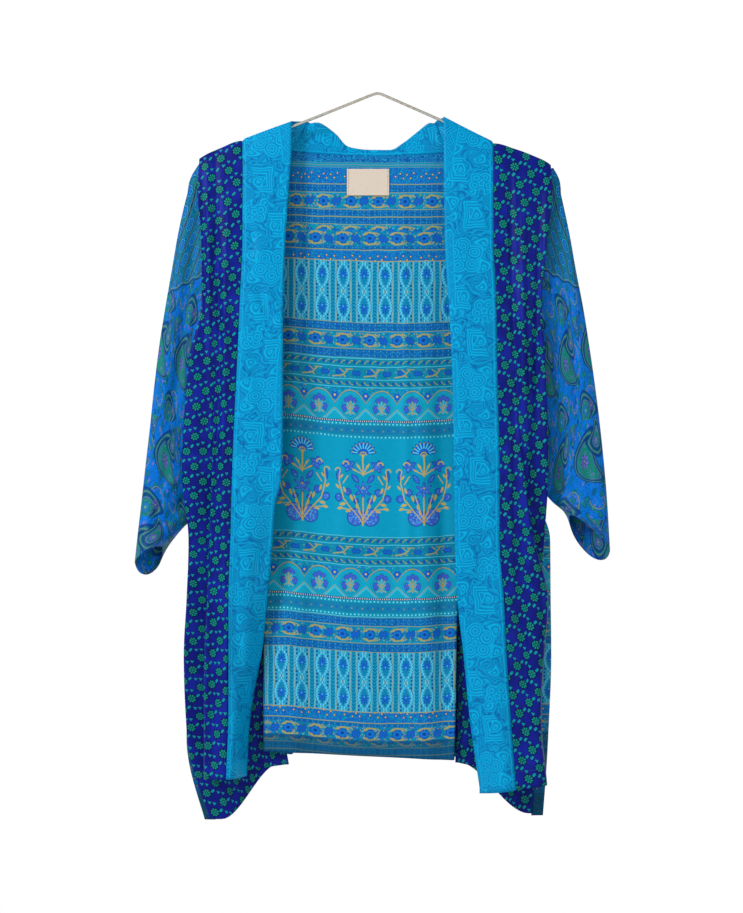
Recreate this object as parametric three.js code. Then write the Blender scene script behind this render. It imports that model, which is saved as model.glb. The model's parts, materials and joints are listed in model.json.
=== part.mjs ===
// Short open kimono in printed silk, hanging on a bent wire hanger.
// Millimetres, +Z up, front towards -Y, +X to the right seen from the front.
// The origin is the underside of the bend at the top of the hanger wire.
// "right" and "left" in names are the wearer's.
import * as THREE from 'three';

// ---- sizes ---------------------------------------------------------------
const CLOTH = 1.2;          // wall of every cloth piece
const SEAM_GAP = 0.4;       // clear space between two sewn edges
const WIRE_RADIUS = 1.7;    // hanger wire
const LABEL = { width: 51, height: 32, thick: 1.0, x: -12, z: -104 };
const LEVELS = 18;          // rows of a panel between shoulder and hem

// ---- small helpers -------------------------------------------------------
const lerp = (a, b, t) => a + (b - a) * t;
const clamp01 = (t) => Math.min(1, Math.max(0, t));
const smooth = (a, b, v) => { const t = clamp01((v - a) / (b - a)); return t * t * (3 - 2 * t); };

// A table has one row for each level and a named column for each measure.
function rows(names, data) {
  const cols = names.split(' ');
  return data.map((r) => Object.fromEntries(cols.map((c, i) => [c, r[i]])));
}

// Value of a column at any level, on a smooth curve without overshoot.
function at(table, key, col, v) {
  const dir = table[1][key] > table[0][key] ? 1 : -1;
  let i = 0;
  while (i < table.length - 2 && (v - table[i + 1][key]) * dir > 0) i += 1;
  const slope = (k) => (table[k + 1][col] - table[k][col]) / (table[k + 1][key] - table[k][key]);
  const tangent = (k) => {
    if (k === 0) return slope(0);
    if (k === table.length - 1) return slope(k - 1);
    const a = slope(k - 1), b = slope(k);
    return a * b <= 0 ? 0 : (2 * a * b) / (a + b);
  };
  const h = table[i + 1][key] - table[i][key];
  const t = clamp01((v - table[i][key]) / h);
  const t2 = t * t, t3 = t2 * t;
  return (2 * t3 - 3 * t2 + 1) * table[i][col] + (t3 - 2 * t2 + t) * h * tangent(i)
    + (3 * t2 - 2 * t3) * table[i + 1][col] + (t3 - t2) * h * tangent(i + 1);
}

// ---- large soft folds shared by all the layers ---------------------------
// Each is a vertical trough (+) or ridge (-) that deepens towards its foot.
const FRONT_FOLDS = rows('x lean half depth from to', [
  [-196, -0.010, 9, 3.2, -90, -800],
  [-216, -0.020, 8, -3.0, -220, -800],
  [-176, -0.020, 9, -2.4, -330, -840],
  [-140, 0.020, 16, 2.2, -120, -520],
  [152, 0.030, 8, 2.6, -90, -800],
  [170, 0.030, 9, -3.2, -160, -840],
  [186, 0.020, 8, 2.8, -120, -840],
  [118, 0.010, 16, 1.8, -300, -840],
]);
const BACK_FOLDS = rows('x lean half depth from to', [
  [-98, -0.010, 15, -3.6, -110, -790],
  [-58, -0.030, 18, 2.6, -250, -790],
  [-8, -0.020, 22, -2.2, -160, -790],
  [38, 0.030, 14, -3.8, -100, -790],
  [70, 0.020, 15, 3.0, -200, -790],
]);
function fold(table, x, z) {
  let y = 0;
  for (const f of table) {
    const grow = smooth(f.from, f.from - 320, z) * (1 - 0.4 * smooth(f.to + 80, f.to - 40, z));
    const d = (x - f.x - f.lean * (f.from - z)) / f.half;
    y += f.depth * grow * Math.exp(-d * d);
  }
  return y;
}
// Front layers take the front folds, back layers the back ones.
function settle(p) {
  const w = smooth(-19, 3, p.y);
  p.y += (1 - w) * fold(FRONT_FOLDS, p.x, p.z) + w * fold(BACK_FOLDS, p.x, p.z);
  return p;
}

// ---- section of a panel that hangs in flat folds -------------------------
// stops: where the cloth turns, as {x, y0, y1, z}; y0 and y1 are the depths
// of the layers before and after the turn; sag bends the level of the layer
// that ends there.  counts: cells in each layer.
function foldedSection(stops, counts, round = 3.2) {
  const pts = [];
  const last = stops.length - 1;
  const soft = (d) => d / Math.hypot(d, round);
  let from = { x: stops[0].x, y: stops[0].y1, z: stops[0].z };
  pts.push(new THREE.Vector3(from.x, from.y, from.z));
  for (let k = 1; k <= last; k += 1) {
    const s = stops[k];
    const here = k === last
      ? { x: s.x, y: s.y0, z: s.z }
      : { x: s.x - round * soft(s.x - stops[k - 1].x), y: s.y0, z: s.z };
    for (let i = 1; i <= counts[k - 1]; i += 1) {
      const t = i / counts[k - 1];
      pts.push(new THREE.Vector3(lerp(from.x, here.x, t), lerp(from.y, here.y, t), lerp(from.z, here.z, s.sag ? smooth(s.sag[0], s.sag[1], t) : t)));
    }
    if (k === last) break;
    const next = { x: s.x + round * soft(stops[k + 1].x - s.x), y: s.y1, z: s.z };
    const mid = (s.y0 + s.y1) / 2;
    const q = 0.7071;
    pts.push(new THREE.Vector3(lerp(here.x, s.x, q), lerp(here.y, mid, 1 - q), s.z));
    pts.push(new THREE.Vector3(s.x, mid, s.z));
    pts.push(new THREE.Vector3(lerp(next.x, s.x, q), lerp(next.y, mid, 1 - q), s.z));
    pts.push(new THREE.Vector3(next.x, next.y, s.z));
    from = next;
  }
  return pts;
}

// ---- closed wall on both sides of a grid of points -----------------------
// grid[row][column]; ring: the columns close on themselves.
function wall(name, grid, material, { ring = false, thick = CLOTH } = {}) {
  const nr = grid.length, nc = grid[0].length;
  const g = (r, c) => grid[Math.min(nr - 1, Math.max(0, r))][ring ? (c + nc) % nc : Math.min(nc - 1, Math.max(0, c))];
  const pos = [], index = [];
  const normal = (r, c) => {
    const du = new THREE.Vector3().subVectors(g(r, c + 1), g(r, c - 1));
    const dv = new THREE.Vector3().subVectors(g(r + 1, c), g(r - 1, c));
    return du.cross(dv).normalize();
  };
  for (const side of [0.5, -0.5]) {
    for (let r = 0; r < nr; r += 1) {
      for (let c = 0; c < nc; c += 1) {
        const p = g(r, c).clone().addScaledVector(normal(r, c), side * thick);
        pos.push(p.x, p.y, p.z);
      }
    }
  }
  const id = (s, r, c) => s * nr * nc + r * nc + (ring ? c % nc : c);
  const quad = (a, b, c, d) => index.push(a, b, c, a, c, d);
  const cc = ring ? nc : nc - 1;
  for (let r = 0; r < nr - 1; r += 1) {
    for (let c = 0; c < cc; c += 1) {
      quad(id(0, r, c), id(0, r, c + 1), id(0, r + 1, c + 1), id(0, r + 1, c));
      quad(id(1, r, c), id(1, r + 1, c), id(1, r + 1, c + 1), id(1, r, c + 1));
    }
  }
  for (let c = 0; c < cc; c += 1) {
    quad(id(0, 0, c), id(1, 0, c), id(1, 0, c + 1), id(0, 0, c + 1));
    quad(id(0, nr - 1, c), id(0, nr - 1, c + 1), id(1, nr - 1, c + 1), id(1, nr - 1, c));
  }
  if (!ring) {
    for (let r = 0; r < nr - 1; r += 1) {
      quad(id(0, r, 0), id(0, r + 1, 0), id(1, r + 1, 0), id(1, r, 0));
      quad(id(0, r, nc - 1), id(1, r, nc - 1), id(1, r + 1, nc - 1), id(0, r + 1, nc - 1));
    }
  }
  const geo = new THREE.BufferGeometry();
  geo.setAttribute('position', new THREE.Float32BufferAttribute(pos, 3));
  geo.setIndex(index);
  // Volume tells which way the faces look; they are turned outward.
  let v6 = 0;
  const a = new THREE.Vector3(), b = new THREE.Vector3(), c = new THREE.Vector3();
  for (let i = 0; i < index.length; i += 3) {
    a.fromArray(pos, index[i] * 3); b.fromArray(pos, index[i + 1] * 3); c.fromArray(pos, index[i + 2] * 3);
    v6 += a.dot(b.cross(c));
  }
  if (v6 < 0) {
    for (let i = 0; i < index.length; i += 3) [index[i + 1], index[i + 2]] = [index[i + 2], index[i + 1]];
    geo.setIndex(index);
  }
  geo.computeVertexNormals();
  const mesh = new THREE.Mesh(geo, material);
  mesh.name = name;
  return mesh;
}

// ---- front panels ---------------------------------------------------------
// z: level at the band seam.  x of the band seam, the soft pleat, its inner
// fold, the outer fold and the armhole or side seam; then the depth of each
// layer between them and of the outer seam edge.
const FRONT_R = rows('z seam soft inner edge armhole yL yM yN yO yE', [
  [-56, -164, -178, -194, -215, -211, -1, -1, -1, -1, -1],
  [-60, -164, -178, -194, -215, -211, -3.3, -3.3, -3.3, -3.2, -2.9],
  [-91, -163, -180, -194, -217, -210, -9, -9, -8.5, -7.6, -4.4],
  [-172, -163, -182, -193, -212, -204, -15, -14, -13, -12, -6.4],
  [-247, -166, -187, -197, -211, -198, -18, -18, -17, -14, -8],
  [-319, -169, -193, -199, -226, -193, -21, -20, -19, -14, -8],
  [-403, -173, -197, -197, -233, -187, -23, -20, -19, -12, -6],
  [-457, -175, -199, -194, -235, -185, -24, -18, -15, -8.5, -2.4],
  [-535, -177, -202, -180, -228, -194, -25, -8, -3, 4, 8],
  [-607, -179, -205, -153, -231, -207, -26, 4, 8, 13, 15],
  [-667, -179, -208, -131, -235, -220, -27, 13, 17.5, 20.5, 20.5],
  [-739, -179, -209, -122, -231, -225, -27, 14.5, 19, 21.5, 21.5],
  [-821, -182, -209, -108, -203, -198, -27, 15, 20, 22, 22],
]);
const FRONT_L = rows('z seam soft inner edge armhole yL yM yN yO yE', [
  [-59, 140, 151, 173, 208, 204, -1, -1, -1, -1, -1],
  [-63, 140, 151, 173, 208, 204, -3.3, -3.3, -3.3, -3.2, -2.9],
  [-91, 139, 154, 173, 209, 202, -9, -9, -8.5, -7.6, -4.4],
  [-172, 139, 156, 173, 203, 196, -15, -14, -13, -12, -6.4],
  [-247, 142, 161, 175, 196, 186, -18, -18, -17, -14, -8],
  [-319, 143, 163, 178, 200, 181, -21, -20, -19, -14, -8],
  [-403, 145, 169, 180, 203, 175, -23, -20, -19, -12, -6],
  [-457, 146, 175, 180, 204, 173, -24, -18, -15, -8.5, -2.4],
  [-535, 146, 187, 165, 200, 187, -25, -8, -3, 3, 6],
  [-607, 151, 204, 110, 195, 191, -26, 4, 8, 12, 13.5],
  [-667, 154, 200, 96, 193, 190, -27, 13, 17.5, 20, 20],
  [-739, 159, 196, 95, 192, 190, -27, 14.5, 19, 21, 21],
  [-821, 165.5, 203, 94, 186, 184, -27, 15, 20, 22, 22],
]);
// How far each stop hangs below the band seam's foot at the hem.
const FRONT_HEM = { right: [0, -1, 13, -54, -54], left: [-13, -8, 15, -47, -47] };
const FRONT_CELLS = [4, 4, 5, 2];

// ---- back panel -----------------------------------------------------------
// For each half, from the level centre part outwards: where it turns under,
// where it turns out again, the wrap at the side, and the side seam.
const BACK_R = rows('z turn tuck wrap side yT yU yV yE', [
  [-56, -130, -154, -215, -211, 1, 1, 1, 1],
  [-60, -130, -154, -215, -211, 3.3, 3.3, 3.2, 2.9],
  [-91, -130, -154, -215, -209, 8, 7.6, 7.2, 4.4],
  [-172, -136, -158, -208, -203, 12, 11.5, 11, 6.4],
  [-247, -139, -163, -203, -197, 13, 13, 12.5, 8],
  [-319, -144, -168, -198, -192, 13, 14, 13, 7.6],
  [-403, -148, -166, -193, -186, 13, 14, 13.5, 6],
  [-457, -149, -161, -193, -184, 12, 14, 14, 3.8],
  [-535, -146, -146, -204, -193, 10, 13, 16, 9.7],
  [-607, -142, -132, -218, -205, 7, 11, 20, 16.7],
  [-667, -138, -122, -231, -219, 5, 9.5, 23.5, 22.2],
  [-739, -138, -112, -232, -224, 4, 9, 25, 23.2],
  [-821, -138, -103, -210, -197.5, 4, 9, 26, 23.7],
]);
const BACK_L = rows('z turn tuck wrap side yT yU yV yE', [
  [-56, 110, 134, 208, 204, 1, 1, 1, 1],
  [-60, 110, 134, 208, 204, 3.3, 3.3, 3.2, 2.9],
  [-91, 110, 137, 208, 201, 8, 7.6, 7.2, 4.4],
  [-172, 110, 139, 200, 195, 12, 11.5, 11, 6.4],
  [-247, 112, 144, 192, 185, 13, 13, 12.5, 8],
  [-319, 113, 149, 187, 180, 13, 14, 13, 7.6],
  [-403, 110, 142, 181, 174, 13, 14, 13.5, 6],
  [-457, 106, 132, 181, 172, 12, 14, 14, 3.8],
  [-535, 100, 101, 208, 187, 10, 13, 16, 7.7],
  [-607, 97, 89, 209, 190, 7, 11, 20, 15.2],
  [-667, 95, 85, 210, 190, 5, 9.5, 23.5, 21.7],
  [-739, 94, 84, 206.5, 190, 4, 9, 25, 22.7],
  [-821, 92, 83, 200, 186, 4, 9, 26, 23.7],
]);
// Level of the hem at: right wrap, tuck, turn, then left turn, tuck, wrap.
const BACK_HEM = [-876, -795, -791, -802, -800, -871];
// Top edge of the panels: the shoulder ridges, and the neck seam between them.
const SHOULDER = rows('x z y', [
  [-222, -86, 1],
  [-214, -76.5, 1],
  [-190, -64.5, 1],
  [-164, -55.5, 1],
  [-156, -57.6, 3.6],
  [-140, -61.6, 6.8],
  [-107, -66.6, 10.2],
  [-80, -69.2, 11.6],
  [-57, -70.6, 12.2],
  [-12, -72, 12.4],
  [50, -70.6, 12.2],
  [86, -68.4, 10.6],
  [114, -65, 7.6],
  [132, -62, 3.8],
  [140, -58.6, 1],
  [165, -65.3, 1],
  [191, -75.2, 1],
  [203, -81, 1],
  [212, -88.5, 1],
]);
const BACK_CELLS = [2, 6, 3, 10, 3, 6, 2];

// ---- neckband --------------------------------------------------------------
// Free edge of the two front stretches: x, depth and how far the strip
// bows forward between its edges.
const BAND_R = rows('z x y bow', [
  [-37, -103.5, -2.5, 0.5],
  [-67, -104, -6, 0.5],
  [-127, -108, -12, 1],
  [-223, -113, -17, 2],
  [-319, -114, -20, 2],
  [-415, -114, -22, 2],
  [-463, -116, -23, 3],
  [-493, -123, -21, 3],
  [-559, -128, -16, 4],
  [-607, -133, -11, 5],
  [-665, -139, -4, 7],
  [-718, -149, 2, 9],
  [-760, -155, 5, 10],
  [-821, -158.5, 7, 10],
]);
const BAND_L = rows('z x y bow', [
  [-29, 79, -2.5, 0.5],
  [-72, 79, -6.5, 0.5],
  [-175, 80, -15, 1.5],
  [-217, 82, -17, 2],
  [-271, 86, -19, 2],
  [-391, 90, -22, 2],
  [-487, 91, -24, 2],
  [-559, 92.5, -24, 2],
  [-607, 95, -23, 3],
  [-677, 103, -18, 5],
  [-756, 111, -9, 8],
  [-834, 122.5, -3, 9],
]);
const BAND_L_FOOT = -7;     // how far the free corner hangs below the seam corner
// The neck stretch, from the right shoulder round to the left: the seam, the
// top of the strip where it rolls over, and the free edge.
const NECK = rows('sx sy sz mx my mz fx fy fz', [
  [-163.5, -3.5, -59, -133, -4.3, -48.5, -103.5, -4.3, -38],
  [-163.4, -0.8, -53.8, -133, -1.6, -42.6, -103.5, -1.6, -32],
  [-157, 3.0, -55.8, -128, 5.6, -42, -102, 5, -31.5],
  [-140, 6.6, -60.2, -114, 11, -44, -97, 13, -30.5],
  [-107, 10.2, -65.4, -94, 17.5, -44, -87, 21, -29.5],
  [-94, 10.9, -66.7, -85, 22, -33, -80, 31, -31.5],
  [-80, 11.6, -68, -73, 24, -30.5, -70, 31, -43],
  [-57, 12.2, -69.4, -52, 22, -44, -52, 28, -80],
  [-36, 12.4, -70.4, -36, 17.6, -60.5, -38, 23, -104],
  [-12, 12.4, -71, -12, 16, -64.5, -12, 21.5, -116],
  [14, 12.4, -70.8, 14, 16, -64.8, 14, 21.5, -115],
  [32, 12.4, -70.2, 30, 18.2, -56.5, 32, 24, -97],
  [50, 12.2, -69.4, 47, 22.5, -43, 50, 29, -73],
  [68, 11.6, -68.2, 63, 25, -31, 64, 32, -46],
  [77, 11.1, -67.7, 70, 22.5, -32.5, 69, 30, -30.5],
  [86, 10.6, -67.2, 78, 17.5, -44, 74, 21.5, -26.5],
  [114, 7.4, -63.8, 97, 11.2, -43, 77, 13, -26.5],
  [132, 3.4, -60.6, 106, 6, -42.5, 79, 6, -26.5],
  [139.6, -0.8, -57, 110, -1.6, -42.4, 79, -1.6, -26.5],
  [139.6, -3.5, -62, 110, -4.3, -49, 79, -4.3, -33],
]);

// ---- sleeves ---------------------------------------------------------------
// Rings from the armhole to the cuff: upper point, lower point, depth of the
// ring in front of and behind its middle line, depth of the lower point, and
// how far the front edge stands above and the back edge below that line.
const SLEEVE_R = rows('tx tz lx lz front back ly tip', [
  [-218, -82, -185, -447, 0, 0, 0.6, 0],
  [-229, -118, -191, -454, 3, 3, 2, 0],
  [-240, -165, -199, -462, 5, 7, 5, 0],
  [-248, -211, -206, -471, 6, 11, 7, 0],
  [-256, -257, -212, -480, 7, 14, 9, 0],
  [-263, -301, -217, -490, 7, 17, 11, 0],
  [-269, -349, -222, -501, 8, 20, 12, 1],
  [-274, -397, -228, -513, 9, 23, 12, 6],
  [-279.5, -445, -237, -522, 12, 26, 10, 10],
  [-285, -495, -246, -531, 16, 30, 7, 14],
  [-289, -530, -254, -539, 21, 34, 4, 18],
  [-292.5, -564, -260, -545, 26, 38, 2, 23],
]);
const SLEEVE_L = rows('tx tz lx lz front back ly tip', [
  [213, -86, 173, -447, 0, 0, 0.6, 0],
  [220, -119, 179, -453, 3, 3, 2, 0],
  [230, -166, 185, -459, 5, 7, 5, 0],
  [238, -211, 191, -466, 6, 11, 7, 0],
  [247, -257, 197, -473, 7, 14, 9, 0],
  [254, -301, 203, -481, 7, 17, 11, 0],
  [261, -349, 208, -487, 8, 20, 12, 0],
  [267, -397, 213, -492, 9, 23, 12, 0],
  [272, -445, 218, -496, 12, 26, 10, 1],
  [275.5, -487, 223, -500, 16, 30, 7, 3],
  [277.5, -520, 227, -504, 21, 34, 4, 9],
  [279, -550, 231, -507, 26, 38, 2, 25],
]);
const SLEEVE_RINGS = 14;
const SLEEVE_AROUND = 22;

// ---- hanger ----------------------------------------------------------------
// Centre line of the bent wire, from the right arm's end to the left arm's.
const WIRE = rows('x z', [
  [-202, -75.4],
  [-182, -67.2],
  [-164, -61],
  [-133, -49],
  [-101, -37.2],
  [-33, -10.3],
  [-9, -0.6],
  [-3, 1.4],
  [0, 1.7],
  [3, 1.3],
  [9, -1.2],
  [38, -13.9],
  [79, -32],
  [88, -36.6],
  [122, -54.2],
  [139, -63.6],
  [176, -74.4],
  [194, -80.4],
]);

// ---- building --------------------------------------------------------------
const silk = (name, hex) => new THREE.MeshStandardMaterial({ name, color: hex, roughness: 0.5, side: THREE.DoubleSide });
const DARK_SILK = silk('dark_silk', 0x1f2a92);
const TEAL_SILK = silk('teal_silk', 0x1590b8);
const BAND_SILK = silk('band_silk', 0x0789bd);
const SLEEVE_SILK = silk('sleeve_silk', 0x0a63b8);
const LABEL_CLOTH = silk('label_cloth', 0xe6dccb);
const STEEL = new THREE.MeshStandardMaterial({ name: 'wire_steel', color: 0xb9b2a6, metalness: 0.9, roughness: 0.3 });

const levels = (table) => {
  const top = table[0].z, foot = table[table.length - 1].z;
  const out = [top, table[1].z];
  for (let i = 1; i <= LEVELS; i += 1) out.push(lerp(table[1].z, foot, (i / LEVELS) ** 1.02));
  return out;
};
const hemShift = (table, z, hem) => hem * smooth(-600, table[table.length - 1].z, z);
// The top rows take the line of the shoulder and neck.
function shoulder(points, top, z, neck = false) {
  const w = 1 - smooth(top, top - 150, z);
  for (const p of points) {
    p.z += w * (at(SHOULDER, 'x', 'z', p.x) - top);
    if (neck) p.y = Math.max(p.y, lerp(p.y, at(SHOULDER, 'x', 'y', p.x), w));
  }
  return points;
}

function frontStops(table, hem, z, sag) {
  const v = (c) => at(table, 'z', c, z);
  const depth = ['yL', 'yM', 'yN', 'yO', 'yE'].map(v);
  return ['seam', 'soft', 'inner', 'edge', 'armhole'].map((c, i) => ({
    x: v(c),
    y0: i === 4 ? depth[4] : depth[Math.max(0, i - 1)],
    y1: depth[Math.min(i, 3)],
    z: z + hemShift(table, z, hem[i]),
    sag: i === 3 ? sag : null,
  }));
}
function frontPanel(name, table, hem, sag) {
  const grid = levels(table).map((z) => shoulder(foldedSection(frontStops(table, hem, z, sag), FRONT_CELLS), table[0].z, z).map(settle));
  return wall(name, grid, DARK_SILK);
}

function backStops(z) {
  const r = (c) => at(BACK_R, 'z', c, z), l = (c) => at(BACK_L, 'z', c, z);
  const k = (i) => z + hemShift(BACK_R, z, BACK_HEM[i] - BACK_R[BACK_R.length - 1].z);
  return [
    { x: r('side'), y0: 0, y1: r('yE'), z: k(0) },
    { x: r('wrap'), y0: lerp(r('yE'), r('yV'), 0.6), y1: r('yV'), z: k(0) },
    { x: r('tuck'), y0: r('yV'), y1: r('yU'), z: k(1), sag: [0.08, 0.84] },
    { x: r('turn'), y0: r('yU'), y1: r('yT'), z: k(2) },
    { x: l('turn'), y0: l('yT'), y1: l('yU'), z: k(3) },
    { x: l('tuck'), y0: l('yU'), y1: l('yV'), z: k(4) },
    { x: l('wrap'), y0: l('yV'), y1: lerp(l('yE'), l('yV'), 0.6), z: k(5), sag: [0.06, 1] },
    { x: l('side'), y0: l('yE'), y1: 0, z: k(5) },
  ];
}
const BACK_GRID = levels(BACK_R).map((z) =>
  shoulder(foldedSection(backStops(z), BACK_CELLS), BACK_R[0].z, z, true).map(settle));
// Depth of the back panel's level centre part at a place on it.
function onBack(x, z) {
  const first = BACK_CELLS[0] + BACK_CELLS[1] + BACK_CELLS[2] + 12;
  for (let r = 0; r < BACK_GRID.length - 1; r += 1) {
    for (let c = first; c < first + BACK_CELLS[3]; c += 1) {
      const a = BACK_GRID[r][c], b = BACK_GRID[r][c + 1], d = BACK_GRID[r + 1][c], e = BACK_GRID[r + 1][c + 1];
      const t = (x - lerp(a.x, d.x, 0.5)) / (lerp(b.x, e.x, 0.5) - lerp(a.x, d.x, 0.5));
      const zt = lerp(a.z, b.z, t), zb = lerp(d.z, e.z, t);
      if (t < 0 || t > 1 || z > zt || z < zb) continue;
      return lerp(lerp(a.y, b.y, t), lerp(d.y, e.y, t), (z - zt) / (zb - zt));
    }
  }
  return 0;
}

function bandStation(table, front, hem, sign, z) {
  const sx = at(front, 'z', 'seam', z) - sign * (CLOTH * 0.25 + SEAM_GAP * 0.5);
  const sy = at(front, 'z', 'yL', z);
  const sz = z + hemShift(front, z, hem[0]);
  const fz = sz + (sign > 0 ? BAND_L_FOOT : 0) * smooth(-600, -834, z);
  const fx = at(table, 'z', 'x', fz), fy = at(table, 'z', 'y', fz), bow = at(table, 'z', 'bow', fz);
  const out = [];
  for (let i = 0; i <= 6; i += 1) {
    const t = i / 6, s = Math.sin(Math.PI * t);
    out.push(settle(new THREE.Vector3(
      lerp(sx, fx, t) + sign * bow * 0.25 * s * t,
      lerp(sy, fy, t ** 1.25) - bow * s,
      lerp(sz, fz, t),
    )));
  }
  return out;
}
function neckStation(s) {
  // Two joined arcs: seam to the rolled top, and on to the free edge.
  const v = (c) => at(NECK_I, 'i', c, s);
  const a = new THREE.Vector3(v('sx'), v('sy'), v('sz'));
  const m = new THREE.Vector3(v('mx'), v('my'), v('mz'));
  const f = new THREE.Vector3(v('fx'), v('fy'), v('fz'));
  const curve = new THREE.CatmullRomCurve3([a, m, f], false, 'centripetal');
  return [0, 0.2, 0.36, 0.5, 0.64, 0.82, 1].map((t) => curve.getPoint(t));
}
const NECK_I = NECK.map((r, i) => ({ i, ...r }));
function neckband() {
  const grid = [];
  const N = 19;
  for (let i = 0; i < N; i += 1) grid.push(bandStation(BAND_R, FRONT_R, FRONT_HEM.right, -1, lerp(-821, -74, (i / (N - 1)) ** 0.98)));
  const steps = (NECK.length - 1) * 2;
  for (let i = 0; i <= steps; i += 1) grid.push(neckStation((i / steps) * (NECK.length - 1)));
  for (let i = 0; i < N; i += 1) grid.push(bandStation(BAND_L, FRONT_L, FRONT_HEM.left, 1, lerp(-78, -821, (i / (N - 1)) ** 1.02)));
  return wall('neckband', grid, BAND_SILK);
}

function sleeve(name, table, front, back, sign) {
  const rings = table.map((r, i) => ({ i, ...r }));
  const grid = [];
  for (let k = 0; k < SLEEVE_RINGS; k += 1) {
    const s = (k / (SLEEVE_RINGS - 1)) * (table.length - 1);
    const v = (c) => at(rings, 'i', c, s);
    const loose = smooth(0, 2.2, s);
    const ring = [];
    for (let j = 0; j < SLEEVE_AROUND; j += 1) {
      const a = (j / SLEEVE_AROUND) * 2 * Math.PI;
      const t = (1 - Math.cos(a)) / 2, sn = Math.sin(a);
      const bulge = Math.sign(sn) * Math.abs(sn) ** 0.85;
      const p = new THREE.Vector3(lerp(v('tx'), v('lx'), t), 0, lerp(v('tz'), v('lz'), t));
      const open = p.y + lerp(0, v('ly'), t) - (bulge > 0 ? v('front') : v('back')) * bulge;
      // The armhole ring lies just inside the edges of front and back.
      const z = Math.max(p.z, -452);
      const edge = bulge > 0
        ? at(front, 'z', 'yE', z) + CLOTH + SEAM_GAP + 0.2
        : at(back, 'z', 'yE', z) - CLOTH - SEAM_GAP - 0.2;
      const ex = (bulge > 0 ? at(front, 'z', 'armhole', z) : at(back, 'z', 'side', z)) - sign * 0.6;
      const near = clamp01(Math.abs(sn) * 3.2);
      const sewn = { x: lerp(p.x, ex, near), y: lerp(lerp(0, v('ly'), t), edge, near) };
      p.x = lerp(sewn.x, p.x, loose);
      p.y = lerp(sewn.y, open, loose);
      p.z += v('tip') * sn * (sn > 0 ? 0.3 : 1);
      ring.push(settle(p));
    }
    grid.push(ring);
  }
  return wall(name, grid, SLEEVE_SILK, { ring: true });
}

function neckLabel() {
  const { width, height, thick, x, z } = LABEL;
  const n = 8, m = 4, grid = [];
  for (let r = 0; r <= m; r += 1) {
    const row = [];
    for (let c = 0; c <= n; c += 1) {
      const p = new THREE.Vector3(x + width * (c / n - 0.5), 0, z + height * (0.5 - r / m));
      p.y = onBack(p.x, p.z) - CLOTH / 2 - thick / 2 - 0.5;
      row.push(p);
    }
    grid.push(row);
  }
  return wall('neck_label', grid, LABEL_CLOTH, { thick });
}

function hangerWire() {
  const curve = new THREE.CatmullRomCurve3(WIRE.map((p) => new THREE.Vector3(p.x, 0, p.z)), false, 'centripetal');
  const around = 8, along = 30, pos = [], index = [];
  const ts = [];
  for (let i = 0; i <= along; i += 1) ts.push(i / along);
  for (const e of [0.475, 0.485, 0.495, 0.505, 0.515, 0.525]) ts.push(e);
  ts.sort((p, q) => p - q);
  for (const t of ts) {
    const p = curve.getPointAt(t), d = curve.getTangentAt(t);
    const side = new THREE.Vector3(-d.z, 0, d.x).normalize();
    for (let j = 0; j < around; j += 1) {
      const a = (j / around) * 2 * Math.PI;
      pos.push(p.x + side.x * Math.cos(a) * WIRE_RADIUS, Math.sin(a) * WIRE_RADIUS, p.z + side.z * Math.cos(a) * WIRE_RADIUS);
    }
  }
  for (let i = 0; i < ts.length - 1; i += 1) {
    for (let j = 0; j < around; j += 1) {
      const a = i * around + j, b = i * around + ((j + 1) % around);
      index.push(a, b, b + around, a, b + around, a + around);
    }
  }
  const p0 = curve.getPoint(0), p1 = curve.getPoint(1), nV = ts.length * around;
  pos.push(p0.x, p0.y, p0.z, p1.x, p1.y, p1.z);
  for (let j = 0; j < around; j += 1) {
    index.push(nV, (j + 1) % around, j);
    index.push(nV + 1, nV - around + j, nV - around + ((j + 1) % around));
  }
  let v6 = 0;
  const q = (i) => new THREE.Vector3().fromArray(pos, i * 3);
  for (let i = 0; i < index.length; i += 3) v6 += q(index[i]).dot(q(index[i + 1]).cross(q(index[i + 2])));
  if (v6 < 0) for (let i = 0; i < index.length; i += 3) [index[i + 1], index[i + 2]] = [index[i + 2], index[i + 1]];
  const geo = new THREE.BufferGeometry();
  geo.setAttribute('position', new THREE.Float32BufferAttribute(pos, 3));
  geo.setIndex(index);
  geo.computeVertexNormals();
  const mesh = new THREE.Mesh(geo, STEEL);
  mesh.name = 'hanger_wire';
  return mesh;
}

const kimono = new THREE.Group();
kimono.name = 'short_kimono';
kimono.add(
  wall('back_panel', BACK_GRID, TEAL_SILK),
  frontPanel('front_panel_right', FRONT_R, FRONT_HEM.right, [0.1, 0.88]),
  frontPanel('front_panel_left', FRONT_L, FRONT_HEM.left, [0, 1]),
  sleeve('sleeve_right', SLEEVE_R, FRONT_R, BACK_R, -1),
  sleeve('sleeve_left', SLEEVE_L, FRONT_L, BACK_L, 1),
  neckband(),
  neckLabel(),
  hangerWire(),
);
export default kimono;
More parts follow.
